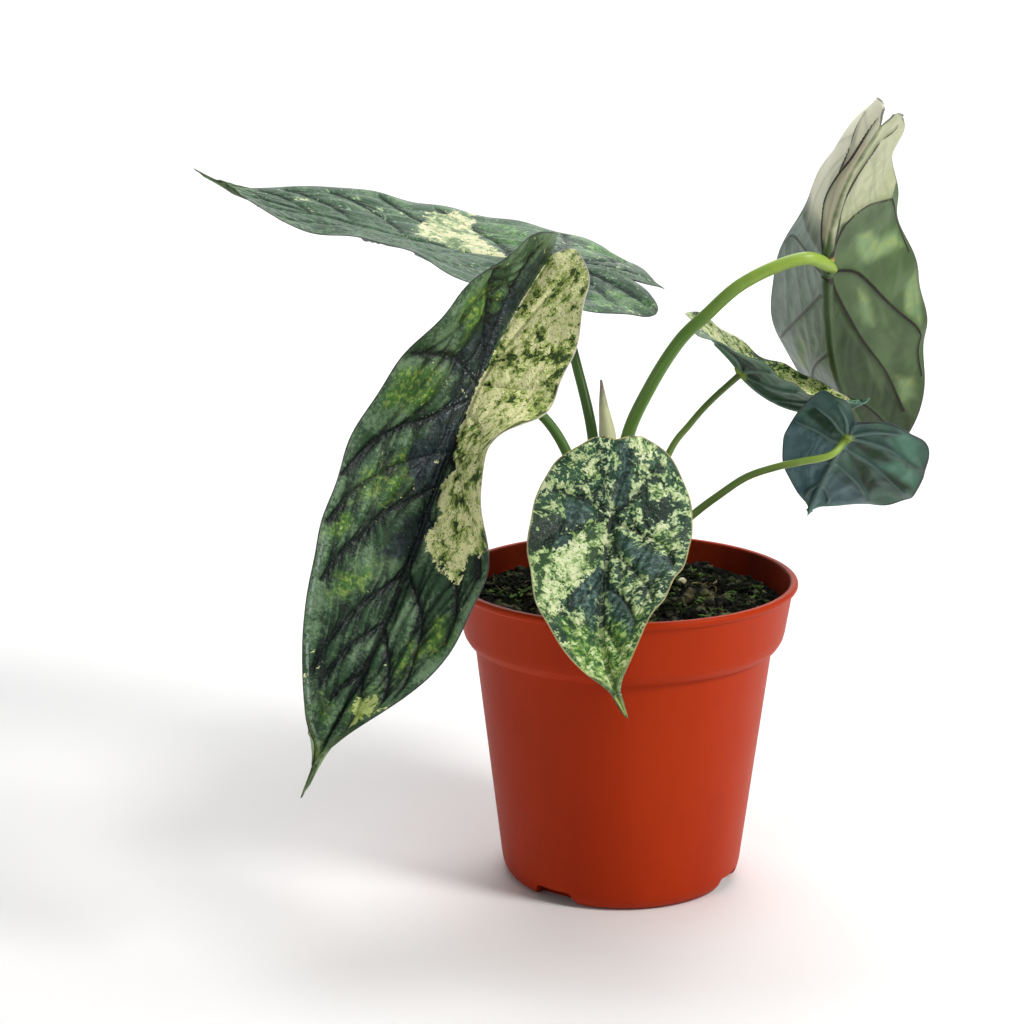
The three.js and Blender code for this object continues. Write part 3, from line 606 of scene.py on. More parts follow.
def blade(leaf, index):
    """Blade with sunken veins above, raised veins below and a thin closed rim."""
    name = leaf["name"]
    edge, rib = outline(leaf), midrib(leaf)
    row_count, half_count, pitch, pucker, waves, plain_from = FORMS[name]
    lobes = int(0.3 * row_count)
    rows = np.concatenate([np.linspace(-1, 0, lobes + 1)[:-1], np.linspace(0, 1, row_count - lobes + 1)])
    across = np.linspace(0, 1, half_count + 1) ** 0.92
    halves = {}
    for side in (-1, 1):
        row, wide = np.meshgrid(rows, across, indexing="ij")
        x, y = flat_place(leaf, edge, row, wide)
        veins = VEINS[name]["left" if side < 0 else "right"]
        taper = 1 + VEIN_TAPER * np.hypot(x, y) / leaf["length"]
        laterals = nearest([spline(v, 60) for v in veins], x, y)
        main = np.minimum(laterals, np.where(x > -2, y, 99)) * taper
        drawn = laterals * taper if name == PLAIN_MIDRIB else main
        net = nearest(rungs(leaf, veins, side, 10 * index + side), x, y)
        margin = nearest([edge], x, y)

        # Quilting: domes between the main veins and puckers between the rungs, calmer at the edge and in cream
        calm = np.clip(margin / 4, 0, 1) * np.clip((1 - np.abs(row)) * 8, 0, 1)
        between = 1 - np.exp(-(net / (0.33 * pitch)) ** 2)
        dome = 1 - 0.55 * np.exp(-(main / 1.3) ** 2) - 0.45 * np.exp(-(main / 4.5) ** 2)
        pads = dome * (1 - pucker + pucker * between) * (1 + 0.22 * swells(x, y * side, index))
        smooth = 1 - 0.72 * sector_field(SECTORS[name].get("cream", []), x, y * side)
        smooth = smooth * (0.6 if name == PLAIN_MIDRIB else 1)
        groove = np.exp(-(main / 0.75) ** 2) * 0.4 + np.exp(-(y / 1.0) ** 2) * 0.4
        height = waves[(side + 1) // 2] * leaf["half"]
        wave = height * np.sin(2 * math.pi * (0.5 * leaf["veins"] * row + 0.2))
        wave = wave * wide ** 3 * (1 - np.abs(row) ** 4)
        lift = wave + calm * smooth * leaf["relief"] * (pads - 0.4) - calm * groove * min(leaf["relief"], 1)
        top = bent(leaf, rib, side, x, y, lift)
        halves[side] = (top, x, y * side, row, wide, main, drawn, net, margin, pads)
    top, x, y, row, wide, main, drawn, net, margin, pads = [
        np.concatenate([left[:, :0:-1], right], axis=1) for left, right in zip(halves[-1], halves[1])]

    # Lower face: thin, with the veins raised and the midrib as a spine
    normal = np.cross(np.gradient(top, axis=1), np.gradient(top, axis=0))
    normal[0], normal[-1] = normal[1], normal[-2]
    normal /= np.linalg.norm(normal, axis=2)[..., None] + TINY
    raised = 0.4 * np.exp(-(main / 0.5) ** 2) + 0.03 * np.exp(-(net / 0.45) ** 2)
    spine = (1 - 0.55 * np.abs(row)) * np.exp(-(y / 1.1) ** 2) * (x > -leaf["notch"])
    thick = (BLADE_THICKNESS + np.maximum(raised * (1 - 0.5 * wide), spine)) * (1 - 0.6 * wide ** 10)
    thick *= np.clip((1 - np.abs(row)) * 30, 0.5, 1)
    low = top - normal * thick[..., None]

    # Fields for the materials. The veins fade in the plain tip, and the drawn edge narrows with the leaf
    tip = np.clip((row - plain_from) / 0.12, 0, 1)
    reach = np.abs(np.where(np.arange(y.shape[1]) < half_count, y[:, :1], y[:, -1:]))
    drip = np.clip((row - 1 + 1.1 * leaf["drip"]) / (0.5 * leaf["drip"]), 0, 1)
    maps = dict(x=x, y=y, vein=drawn + 2 * tip, net=net + 2 * tip, heart=np.hypot(x, y),
                margin=margin * np.maximum(1, 2.2 / (reach + 0.1)), pad=np.maximum(pads, 0.8 * tip), tip=drip)
    for kind, soft in SECTOR_EDGES:
        outlines = SECTORS[name].get(kind, [])
        left, right = [sector_field([o for o in outlines if side * sum(q[1] for q in o) >= 0], x, y, soft)
                       for side in (-1, 1)]
        maps[kind] = np.where(y < 0, left, right)
    return closed_blade(leaf, index, top, low, maps)


def closed_blade(leaf, index, top, low, maps):
    """Upper and lower face joined round the rim, with the fields as attributes and the flat place as UV."""
    count, width = top.shape[:2]
    number = np.arange(count * width).reshape(count, width)
    number[0], number[-1] = number[0, 0], number[-1, 0]
    used, compact = np.unique(number, return_inverse=True)
    upper = compact.reshape(count, width)
    lower = upper + len(used)
    sheet = [(upper[r, c], upper[r, c + 1], upper[r + 1, c + 1], upper[r + 1, c])
             for r in range(count - 1) for c in range(width - 1)]
    faces = sheet + [tuple(i + len(used) for i in f)[::-1] for f in sheet]
    for r in range(count - 1):
        faces.append((upper[r, 0], upper[r + 1, 0], lower[r + 1, 0], lower[r, 0]))
        faces.append((upper[r + 1, -1], upper[r, -1], lower[r, -1], lower[r + 1, -1]))
    slots = [0] * len(sheet) + [1] * len(sheet) + [0] * (len(faces) - 2 * len(sheet))
    clean, kept = [], []
    for face, slot in zip(faces, slots):
        short = tuple(dict.fromkeys(int(i) for i in face))
        if len(short) > 2:
            clean.append(short)
            kept.append(slot)
    flat = top.reshape(-1, 3)[used], low.reshape(-1, 3)[used]
    piece = make_object(leaf["name"] + "_tissue", np.vstack(flat), clean)
    piece.data.polygons.foreach_set("material_index", kept)
    values = {k: np.tile(v.ravel()[used], 2) for k, v in maps.items()}
    for key in FIELDS:
        set_field(piece, key, values[key])
    # Each leaf has its own stretch of the noises
    set_uv(piece, "leaf_mm", np.stack([values["x"] / 100 + 3.7 * index, values["y"] / 100 + 2.3 * index], -1))
    return piece


# Leaf tissue. Each field is a value at every point of a blade: distances in millimetres from the main veins,
# the lesser veins, the edge and the junction, the height of the quilting, the place along the drip tip, and how
# far the point lies in each sector. The edge of a sector is this many millimetres soft.
SECTOR_EDGES = (("cream", 2.2), ("lime", 3.2), ("blue", 2.4), ("dark", 2.0), ("painted_glow", 8.0), ("blush_and_painted_light", 2.5))
FIELDS = ("vein", "net", "margin", "heart", "pad", "tip") + tuple(kind for kind, _ in SECTOR_EDGES)


def leaf_base(name, grains):
    """What both faces of a leaf share: its fields, and noises of several grains in millimetres on the flat
    leaf. A grain is a size, a detail and a distortion."""
    material, tree = new_material(name)
    coords = add(tree, kind="ShaderNodeUVMap", uv_map="leaf_mm")
    field = {k: add(tree, kind="ShaderNodeAttribute", attribute_name=k, out=2) for k in FIELDS}
    noises = [
        add(tree, {"Vector": coords, "Scale": 100 / size, "Detail": detail, "Distortion": warp}, **NOISE)
        for size, detail, warp in grains]
    return material, tree, coords, field, noises


def upper_skin(name, tones, start, speck, busy, cell, gloss):
    """Upper face of an alocasia leaf, thick and leathery, a wax over quilted cells: it has a satin light and
    a fine grain. Its pale tissue is a mosaic of small cell patches, so sectors have ragged edges and are
    flecked."""
    material, tree, coords, field, noises = leaf_base(name, (
        (13, 2.0, 0.0), (4.5 * cell, 3.0, 0.4), (1.9, 2.5, 0.6), (0.9, 2.0, 0.3), (1.3, 3.0, 0.8)))
    broad, patch, islands, fleck, wrinkle = noises
    wander = add(tree, {"Vector": coords, "Scale": 33.0, "Detail": 2.0}, **dict(NOISE, out=1))
    moved = add(tree, (wander, (0.024, 0.024, 0), coords), kind="ShaderNodeVectorMath",
                operation="MULTIPLY_ADD")
    small = add(tree, {"Vector": moved, "Scale": 100 / (1.5 * cell)}, **CELLS)
    large = add(tree, {"Vector": moved, "Scale": 100 / (4.0 * cell)}, **CELLS)
    mosaic = add(tree, (patch, 0.56), **TIMES)
    mosaic = add(tree, (large, 0.2, mosaic), **TIMES_PLUS)
    mosaic = add(tree, (small, 0.24, mosaic), **TIMES_PLUS)
    mosaic = add(tree, (mosaic, -0.2), **PLUS)
    mosaic = add(tree, (fleck, 0.4, mosaic), **TIMES_PLUS)

    # Green tissue: painted shade darkens the furrows of the quilting and a painted grey sheen lights its
    # crests, with soft lime and smooth blue sectors
    painted_relief_shade = add(tree, (field["pad"], 0.05, 0.68), **STEP)
    uneven = add(tree, (patch, 0.6, -0.65), **TIMES_PLUS)
    uneven = add(tree, (wrinkle, 0.7, uneven), **TIMES_PLUS)
    painted_relief_shade = add(tree, (painted_relief_shade, 0.8, uneven), **TIMES_PLUS)
    body = add(tree, {0: painted_relief_shade, 6: tones["dark"], 7: tones["mid"]}, **BLEND)
    # Painted highlight: the soft tone is a sheen painted on the crests
    painted_crest_sheen = add(tree, (wrinkle, 0.5, broad), **TIMES_PLUS)
    painted_crest_sheen = add(tree, (painted_crest_sheen, 0.68, 0.9), **STEP)
    painted_crest_sheen = add(tree, (painted_crest_sheen, painted_relief_shade), **TIMES)
    body = add(tree, {0: painted_crest_sheen, 6: body, 7: tones["soft"]}, **BLEND)
    lime = add(tree, (patch, 2.2, field["lime"]), **TIMES_PLUS)
    lime = add(tree, (lime, 1.35, 2.45), **STEP)
    lime = add(tree, (lime, add(tree, (painted_relief_shade, 0.6, 0.42), **TIMES_PLUS)), **TIMES)
    glowing = add(tree, (wrinkle, 0.4, islands), **TIMES_PLUS)
    glowing = add(tree, (glowing, 0.66, 0.84), **STEP)
    limes = add(tree, {0: glowing, 6: tones["lime"], 7: tones["bright"]}, **BLEND)
    body = add(tree, {0: lime, 6: body, 7: limes}, **BLEND)
    deep = add(tree, (add(tree, (field["dark"], 0.3, 0.7), **STEP), 0.75), **TIMES)
    body = add(tree, {0: deep, 6: body, 7: tones["dark"]}, **BLEND)
    calm = add(tree, (mosaic, 1.2, field["blue"]), **TIMES_PLUS)
    calm = add(tree, (calm, 0.8, 1.4), **STEP)
    bluish = add(tree, (islands, 0.42, 0.68), **STEP)
    bluish = add(tree, {0: bluish, 6: tones["blue"], 7: tones["blue_pale"]}, **BLEND)
    body = add(tree, {0: add(tree, (calm, 0.85), **TIMES), 6: body, 7: bluish}, **BLEND)

    # Pale dapples in three strengths, fewer where the tissue is plain
    plain = add(tree, (calm, deep), **GREATER)
    value = add(tree, (plain, -0.13, mosaic), **TIMES_PLUS)
    value = add(tree, (field["lime"], 0.03, value), **TIMES_PLUS)
    minted = add(tree, (broad, 0.4, 0.6), **STEP)
    minted = add(tree, {0: minted, 6: tones["mint"], 7: tones["lime_cream"]}, **BLEND)
    minted = add(tree, {0: add(tree, (field["lime"], 0.8), **TIMES), 6: minted, 7: tones["bright"]}, **BLEND)
    for rise, amount, tone in (
            (0.0, 0.6, tones["mint_dim"]), (0.04, 0.9, minted), (0.12, 0.8, tones["cream"])):
        dapple = add(tree, (value, start + rise, start + rise + 0.03), **STEP)
        body = add(tree, {0: add(tree, (dapple, amount), **TIMES), 6: body, 7: tone}, **BLEND)

    # Cream sectors: cream in the middle of a patch, then lime cream, mid green and a few dark flecks
    cream = add(tree, (mosaic, 2.2, field["cream"]), **TIMES_PLUS)
    cream = add(tree, (cream, 1.55, 1.66), **STEP)
    inner = add(tree, (mosaic, -0.35 - busy), **PLUS)
    inner = add(tree, (broad, 0.7, inner), **TIMES_PLUS)
    inner = add(tree, (add(tree, (field["margin"], 8.0, 1.0), **STEP), -0.06, inner), **TIMES_PLUS)
    pale = add(tree, (inner, 0.45, 0.56), **STEP)
    pale = add(tree, {0: pale, 6: tones["lime_cream"], 7: tones["cream"]}, **BLEND)
    green = add(tree, (add(tree, (inner, 0.455, 0.415), **STEP), 0.85), **TIMES)
    pale = add(tree, {0: green, 6: pale, 7: tones["mottle"]}, **BLEND)
    flecks = add(tree, (inner, 0.385, 0.355), **STEP)
    flecks = add(tree, (flecks, add(tree, (fleck, 0.62, 0.66), **STEP)), **GREATER)
    pale = add(tree, {0: add(tree, (flecks, speck), **TIMES), 6: pale, 7: tones["speck"]}, **BLEND)
    yellow = add(tree, (add(tree, (field["lime"], 0.4, 0.8), **STEP), 0.7), **TIMES)
    pale = add(tree, {0: yellow, 6: pale, 7: tones["bright"]}, **BLEND)
    body = add(tree, {0: cream, 6: body, 7: pale}, **BLEND)

    # Veins with painted highlights on their shoulders, the lesser veins, and painted glints beaded along the
    # edge
    shoulder = add(tree, (field["vein"], 0.5, 0.9), **STEP)
    shoulder = add(tree, (shoulder, add(tree, (field["vein"], 1.9, 1.0), **STEP)), **TIMES)
    shoulder = add(tree, (shoulder, add(tree, (fleck, 0.5, 0.64), **STEP)), **TIMES)
    shoulder_sheen_share = add(tree, (cream, -0.08, 0.12), **TIMES_PLUS)
    shoulder_sheen_share = add(tree, (field["blush_and_painted_light"], 0.6, shoulder_sheen_share), **TIMES_PLUS)
    shoulder = add(tree, (shoulder, shoulder_sheen_share), **TIMES)
    body = add(tree, {0: shoulder, 6: body, 7: tones["shine"]}, **BLEND)
    line = add(tree, (field["vein"], 0.8, 0.15), **STEP)
    line = add(tree, (line, add(tree, (cream, -0.35, 0.55), **TIMES_PLUS)), **TIMES)
    body = add(tree, {0: line, 6: body, 7: tones["vein"]}, **BLEND)
    thin = add(tree, (field["net"], 0.75, 0.1), **STEP)
    thin = add(tree, (thin, add(tree, (field["vein"], 10.0, 1.5), **STEP)), **TIMES)
    thin = add(tree, (thin, add(tree, (cream, -0.78, 1.0), **TIMES_PLUS)), **TIMES)
    body = add(tree, {0: add(tree, (thin, 0.42), **TIMES), 6: body, 7: tones["vein"]}, **BLEND)
    # Painted glints: specks of the shine tone along the edge, where the glow outlines lie
    edge_glints = add(tree, (field["margin"], 0.9, 1.3), **STEP)
    edge_glints = add(tree, (edge_glints, add(tree, (field["margin"], 2.2, 1.7), **STEP)), **TIMES)
    glint_spots = add(tree, (field["painted_glow"], add(tree, (islands, 0.46, 0.56), **STEP)), **TIMES)
    edge_glints = add(tree, (edge_glints, glint_spots), **TIMES)
    body = add(tree, {0: add(tree, (edge_glints, 0.75), **TIMES), 6: body, 7: tones["shine"]}, **BLEND)
    body = add(tree, {0: add(tree, (field["tip"], 0.8), **TIMES), 6: body, 7: tones["tip"]}, **BLEND)
    rim = add(tree, (add(tree, (field["margin"], 0.55, 0.25), **STEP), 0.85), **TIMES)
    edge = add(tree, {0: field["cream"], 6: tones["margin"], 7: tones["cream_margin"]}, **BLEND)
    body = add(tree, {0: rim, 6: body, 7: edge}, **BLEND)

    rough = add(tree, (patch, 0.2, gloss - 0.1), **TIMES_PLUS)
    height = add(tree, (thin, -0.5, wrinkle), **TIMES_PLUS)
    bump = add(tree, {"Strength": 0.6, "Distance": 0.0008, "Height": height}, **BUMP)
    skin = add(tree, {"Base Color": body, "Roughness": rough, "IOR": 1.45, "Specular IOR Level": 0.3,
                      "Normal": bump}, **SURFACE)
    add(tree, {"Surface": skin}, **OUTPUT)
    return material


def under_skin(name, tones, vein_share, cloud):
    """Underside of the leaf: a softer, duller skin without quilting, so the sectors show as smooth clouds of
    colour and the raised veins as clean dark or pale lines."""
    material, tree, coords, field, noises = leaf_base(name, (
        (14, 2.0, 0.0), (6, 2.0, 0.4), (0.9, 2.0, 0.0), (2.5, 2.0, 0.0)))
    broad, patch, fleck, pores = noises
    body = add(tree, (broad, 0.38, 0.62), **STEP)
    body = add(tree, {0: body, 6: tones["low"], 7: tones["mid"]}, **BLEND)
    drift = add(tree, (patch, 0.5 * cloud, -0.25 * cloud), **TIMES_PLUS)
    for key, low, high in (("blue", 0.3, 0.7), ("dark", 0.2, 0.8), ("lime", 0.2, 0.9), ("cream", 0.38, 0.62)):
        share = add(tree, (add(tree, (field[key], drift), **PLUS), low, high), **STEP)
        other = add(tree, (patch, 0.4, 0.64), **STEP)
        other = add(tree, {0: other, 6: tones[key], 7: tones[key + "_too"]}, **BLEND)
        body = add(tree, {0: add(tree, (share, 0.92), **TIMES), 6: body, 7: other}, **BLEND)

    # Each coat in turn: where it lies, its range, its strength and its tone. The glow coat is painted light,
    # the blush coat a pale tint partly lifted with painted light, and the coat on the pad height painted shade
    # in the hollows beside the veins
    for where, low, high, amount, tone in (
            (field["painted_glow"], 0.1, 0.9, 0.95, "painted_glow"), (field["blush_and_painted_light"], 0.1, 0.9, 0.8, "blush_and_painted_light"),
            (fleck, 0.5, 0.75, 0.08, "shade"), (field["pad"], 0.8, 0.1, tones["hollow_shade"], "shade"),
            (field["net"], 1.1, 0.1, 0.12, "shade")):
        share = add(tree, (add(tree, (where, low, high), **STEP), amount), **TIMES)
        body = add(tree, {0: share, 6: body, 7: tones[tone]}, **BLEND)
    line = add(tree, (field["vein"], 0.64, 0.32), **STEP)
    strength = add(tree, (field["blue"], -0.4 * vein_share, vein_share), **TIMES_PLUS)
    body = add(tree, {0: add(tree, (line, strength), **TIMES), 6: body, 7: tones["vein"]}, **BLEND)
    rim = add(tree, (add(tree, (field["margin"], 0.8, 0.35), **STEP), 0.85), **TIMES)
    body = add(tree, {0: rim, 6: body, 7: tones["margin"]}, **BLEND)
    body = add(tree, {0: add(tree, (field["tip"], 0.8), **TIMES), 6: body, 7: tones["lime"]}, **BLEND)
    heart = add(tree, (field["heart"], 3.4, 1.2), **STEP)
    body = add(tree, {0: heart, 6: body, 7: tones["heart"]}, **BLEND)

    rough = add(tree, (patch, 0.14, 0.43), **TIMES_PLUS)
    height = add(tree, (fleck, 0.4, pores), **TIMES_PLUS)
    bump = add(tree, {"Strength": 0.3, "Distance": 0.0005, "Height": height}, **BUMP)
    skin = add(tree, {"Base Color": body, "Roughness": rough, "IOR": 1.42, "Normal": bump}, **SURFACE)
    add(tree, {"Surface": skin}, **OUTPUT)
    return material


# Upper tones: dark and mid also paint shade in the furrows and light on the crests, soft is a painted sheen on
# the crests, and shine paints highlights on the shoulders of the veins and glints along the edge
DEEP_UPPER = dict(
    dark="121d18", mid="3a573b", soft="708b6a", lime="44702c", bright="8ea846", blue="161f27",
    blue_pale="323f48", mint="7d9a72", mint_dim="4f6f4c", cream="fafabc", lime_cream="c4d27a",
    mottle="7d9749", speck="34452a", shine="9fb0a8", vein="0d1517", margin="3c3c40",
    cream_margin="c9bfb8", tip="717c3a")
GREY_UPPER = dict(
    dark="17301f", mid="375a3d", soft="688864", lime="3c6e2e", bright="6c9c4e", blue="28452f",
    blue_pale="4f764f", mint="84a585", mint_dim="5c7f62", cream="dcdab0", lime_cream="abbd84",
    mottle="7d9664", speck="4c6b40", shine="869f90", vein="1d3329", margin="4a4850",
    cream_margin="8f8a88", tip="4c6a44")
MINT_UPPER = dict(
    dark="0c2015", mid="1e3f2a", soft="34583e", lime="3c7424", bright="98b656", blue="1b3633",
    blue_pale="5c7a73", mint="a2b98a", mint_dim="48704a", cream="d4dcb0", lime_cream="a9c080",
    mottle="6c9050", speck="213f20", shine="b0c4b0", vein="0e2018", margin="a39a68",
    cream_margin="a8a47e", tip="8fae50")
EDGE_UPPER = dict(
    DEEP_UPPER, dark="1f3a28", mid="476c4c", soft="55785c", lime_cream="d4e48e", cream="f6f8ba",
    mottle="8fb84e", speck="1d391c", margin="4a6a48")
# Under tones: glow is painted light, blush a pale pink tint partly lifted with painted light, and shade is also
# the colour of the painted shade in the hollows beside the veins, with its strength given as a share
PALE_UNDER = dict(
    low="40562f", mid="526a40", blue="869890", blue_too="9aaca2", dark="283f1b", dark_too="334c23",
    lime="7b976a", lime_too="8b9f64", cream="adb28b", cream_too="bcc09c", painted_glow="f6f5d6", blush_and_painted_light="d9d0ae",
    shade="3c5232", hollow_shade=0.25, vein="1a070a", margin="4c524a", heart="b3963a")
TEAL_UNDER = dict(
    low="3f5e5a", mid="567869", blue="4d6c72", blue_too="5f8084", dark="17301f", dark_too="28462c",
    lime="5e927c", lime_too="6fa088", cream="a9bda0", cream_too="b9c9ac", painted_glow="7aa893", blush_and_painted_light="6f8f86",
    shade="24423a", hollow_shade=0.5, vein="6d8c87", margin="3f4a48", heart="93ab44")
SAGE_UNDER = dict(
    TEAL_UNDER, low="4b6c54", mid="63896c", blue="5b7f70", blue_too="7fa08a", vein="6f9480",
    shade="23402c", margin="7f988f", cream="8fa57f", cream_too="9fb28c", hollow_shade=0.6)
# Upper: tones, start of the dapples, strength of the dark flecks, how busy the cream is, size of the cells
# and roughness. Under: tones, strength of the veins and how far the clouds drift.
SKINS = {
    "large_front_leaf": ((DEEP_UPPER, 0.68, 0.92, -0.012, 1.0, 0.38), (PALE_UNDER, 0.9, 1.0)),
    "large_back_leaf": ((GREY_UPPER, 0.60, 0.7, 0.03, 1.0, 0.46), (PALE_UNDER, 0.9, 1.0)),
    "tall_right_leaf": ((GREY_UPPER, 0.62, 0.5, 0.0, 1.0, 0.42), (PALE_UNDER, 0.96, 0.5)),
    "middle_right_leaf": ((EDGE_UPPER, 0.54, 0.95, 0.0, 0.8, 0.46), (SAGE_UNDER, 0.6, 0.6)),
    "low_right_leaf": (
        (dict(MINT_UPPER, margin="3f4a48"), 0.56, 0.5, 0.0, 1.0, 0.42), (TEAL_UNDER, 0.6, 0.6)),
    "small_front_leaf": ((MINT_UPPER, 0.485, 0.95, 0.05, 0.74, 0.38), (PALE_UNDER, 0.9, 1.0)),
}
# Rows and half columns of each blade's mesh, the space between its lesser veins and how far they pucker it,
# the waves of its left and right edge, and the row from which its tip is plain
FORMS = {"large_front_leaf": (250, 76, 4.6, 0.66, (0.03, 0.03), 0.80),
         "large_back_leaf": (200, 66, 7.0, 0.5, (0.012, 0.012), 0.84),
         "tall_right_leaf": (250, 84, 6.5, 0.5, (0.015, 0.03), 0.84),
         "middle_right_leaf": (130, 46, 5.0, 0.5, (0.03, 0.03), 0.84),
         "low_right_leaf": (150, 58, 5.5, 0.4, (0.03, 0.03), 0.86),
         "small_front_leaf": (180, 64, 4.2, 0.6, (0.03, 0.03), 0.60)}


# Stems
def tube(name, path, radius_at, sides, steps, end_normal=None, rib=0.0):
    """Closed round stem along a smooth path. UV runs along its length and round it, in units of 100 mm."""
    centres = even(spline(path, 50 * len(path)), np.linspace(0, 1, steps + 1))
    tangents = np.gradient(centres, axis=0)
    tangents /= np.linalg.norm(tangents, axis=1)[:, None]
    tangents[0] = (0, 0, 1)
    length = np.linalg.norm(np.diff(centres, axis=0), axis=1).sum()
    angle = np.arange(sides) * 2 * math.pi / sides
    side = np.array([1.0, 0, 0])
    points, uv = [], []
    for i, (centre, along) in enumerate(zip(centres, tangents)):
        side = side - along * side.dot(along)
        side /= np.linalg.norm(side)
        other = np.cross(along, side)
        share = i / steps
        radius = radius_at(share) * (1 + rib * np.cos(5 * angle + 0.8 * share))
        ring = centre + np.outer(radius * np.cos(angle), side) + np.outer(radius * np.sin(angle), other)
        if i == steps and end_normal is not None:
            ring -= np.outer((ring - centre) @ end_normal / along.dot(end_normal), along)
        points += list(ring)
        uv += [(share * length / 100, a * radius_at(share) / 100) for a in angle]
    faces = walls([i * sides for i in range(steps + 1)], sides)
    faces.append(tuple(range(sides))[::-1])
    faces.append(tuple(steps * sides + s for s in range(sides)))
    piece = make_object(name, points, faces)
    set_uv(piece, "stem_mm", uv)
    set_field(piece, "share", np.repeat(np.linspace(0, 1, steps + 1), sides))
    return piece


def stem_skin(name, foot, middle, top, streak, turn=(0.6, 0.97)):
    """Living leaf stem with a thin wax: smooth and juicy, so it has a clear soft highlight. The fine
    lengthwise streaks are the bundles under the skin, drawn at about 0.5 mm."""
    material, tree = new_material(name)
    coords = add(tree, kind="ShaderNodeUVMap", uv_map="stem_mm")
    stretched = add(tree, {"Vector": coords, "Scale": (3, 200, 1)}, **MAPPING)
    streaks = add(tree, {"Vector": stretched, "Scale": 1.0, "Detail": 2.0}, **NOISE)
    blotch = add(tree, {"Vector": coords, "Scale": 22.0, "Detail": 3.0}, **NOISE)
    share = add(tree, kind="ShaderNodeAttribute", attribute_name="share", out=2)
    moved = add(tree, (blotch, 0.16, add(tree, (share, -0.08), **PLUS)), **TIMES_PLUS)
    body = add(tree, {0: add(tree, (moved, 0.0, 0.45), **STEP), 6: foot, 7: middle}, **BLEND)
    body = add(tree, {0: add(tree, (moved, *turn), **STEP), 6: body, 7: top}, **BLEND)
    lines = add(tree, (add(tree, (streaks, 0.45, 0.7), **STEP), 0.45), **TIMES)
    body = add(tree, {0: lines, 6: body, 7: streak}, **BLEND)
    rough = add(tree, (blotch, 0.2, 0.26), **TIMES_PLUS)
    bump = add(tree, {"Strength": 0.35, "Distance": 0.0003, "Height": streaks}, **BUMP)
    skin = add(tree, {"Base Color": body, "Roughness": rough, "IOR": 1.42, "Normal": bump}, **SURFACE)
    add(tree, {"Surface": skin}, **OUTPUT)
    return material


STEM_TONES = {
    "large_front_leaf": ("5c7a40", "4e7034", "587a3c", "749250"),
    "large_back_leaf": ("5c7a40", "46682e", "4c6e34", "6a8a46"),
    "tall_right_leaf": ("4e722e", "5d8436", "96b246", "7ca048"),
    "middle_right_leaf": ("5a7440", "69843e", "627c3c", "86984e"),
    "low_right_leaf": ("4c6236", "607a3a", "8fab44", "7c964a"),
    "small_front_leaf": ("5c7a40", "5d8040", "7a9a4e", "7a9a54"),
}


def make_leaf(leaf, index):
    """One leaf: its blade, and its stem, which ends flat against the underside at the junction."""
    name = leaf["name"]
    upper, under = SKINS[name]
    piece = blade(leaf, index)
    piece.data.materials.append(upper_skin(name + "_upper_skin", *upper))
    piece.data.materials.append(under_skin(name + "_under_skin", *under))
    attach(piece, "root")
    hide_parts(name + "_blade")
    positions, table = midrib(leaf)
    face = np.array([np.interp(0, positions, table[:, 6 + k]) for k in range(3)])
    end = np.array(leaf["junction"]) - face * 1.2
    low, high = leaf["stem_radius"]

    def radius(share):
        """Thicker at the foot, with a small swelling at each end."""
        swell = 0.22 * math.exp(-share / 0.05) + 0.16 * math.exp(-(1 - share) / 0.02)
        return (high + (low - high) * (1 - share) ** 2) * (1 + swell)

    stem = tube(name + "_petiole", list(leaf["stem"]) + [end], radius, 24, 90, end_normal=face, rib=0.02)
    stem.data.materials.append(stem_skin(name + "_petiole_skin", *STEM_TONES[name]))
    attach(stem, "root")
    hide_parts(name + "_stem")


for number, one in enumerate(LEAVES):
    make_leaf(one, number + 1)


# Pot
# Where the drain notches stand round the foot, in degrees from +X
NOTCH_ANGLES = (236.5, 335.5, 62.5, 149.5)


def lathe(name, profile, sides, centre_x=0.0):
    """Closed body turned about Z from a profile that starts and ends on the axis."""
    angle = np.arange(sides) * 2 * math.pi / sides
    points, faces, rings = [(centre_x, 0, profile[0][1])], [], []
    for r, z in profile[1:-1]:
        rings.append(len(points))
        points += [(centre_x + r * math.cos(a), r * math.sin(a), z) for a in angle]
    top = len(points)
    points.append((centre_x, 0, profile[-1][1]))
    for s in range(sides):
        n = (s + 1) % sides
        faces += [(0, rings[0] + n, rings[0] + s), (top, rings[-1] + s, rings[-1] + n)]
        faces += [(a + s, a + n, b + n, b + s) for a, b in zip(rings[:-1], rings[1:])]
    return make_object(name, points, faces)


def rounded(profile, radius, steps=3):
    """Profile with its corners rounded by short arcs."""
    p = [np.array(q, float) for q in profile]
    out = [p[0]]
    for a, b, c in zip(p[:-2], p[1:-1], p[2:]):
        r = min(radius, 0.45 * np.linalg.norm(a - b), 0.45 * np.linalg.norm(c - b))
        start, end = [b + (q - b) / np.linalg.norm(q - b) * r for q in (a, c)]
        arc = np.linspace(0, 1, steps + 1)
        out += [(1 - t) ** 2 * start + 2 * t * (1 - t) * b + t * t * end for t in arc]
    return [tuple(q) for q in out + [p[-1]]]


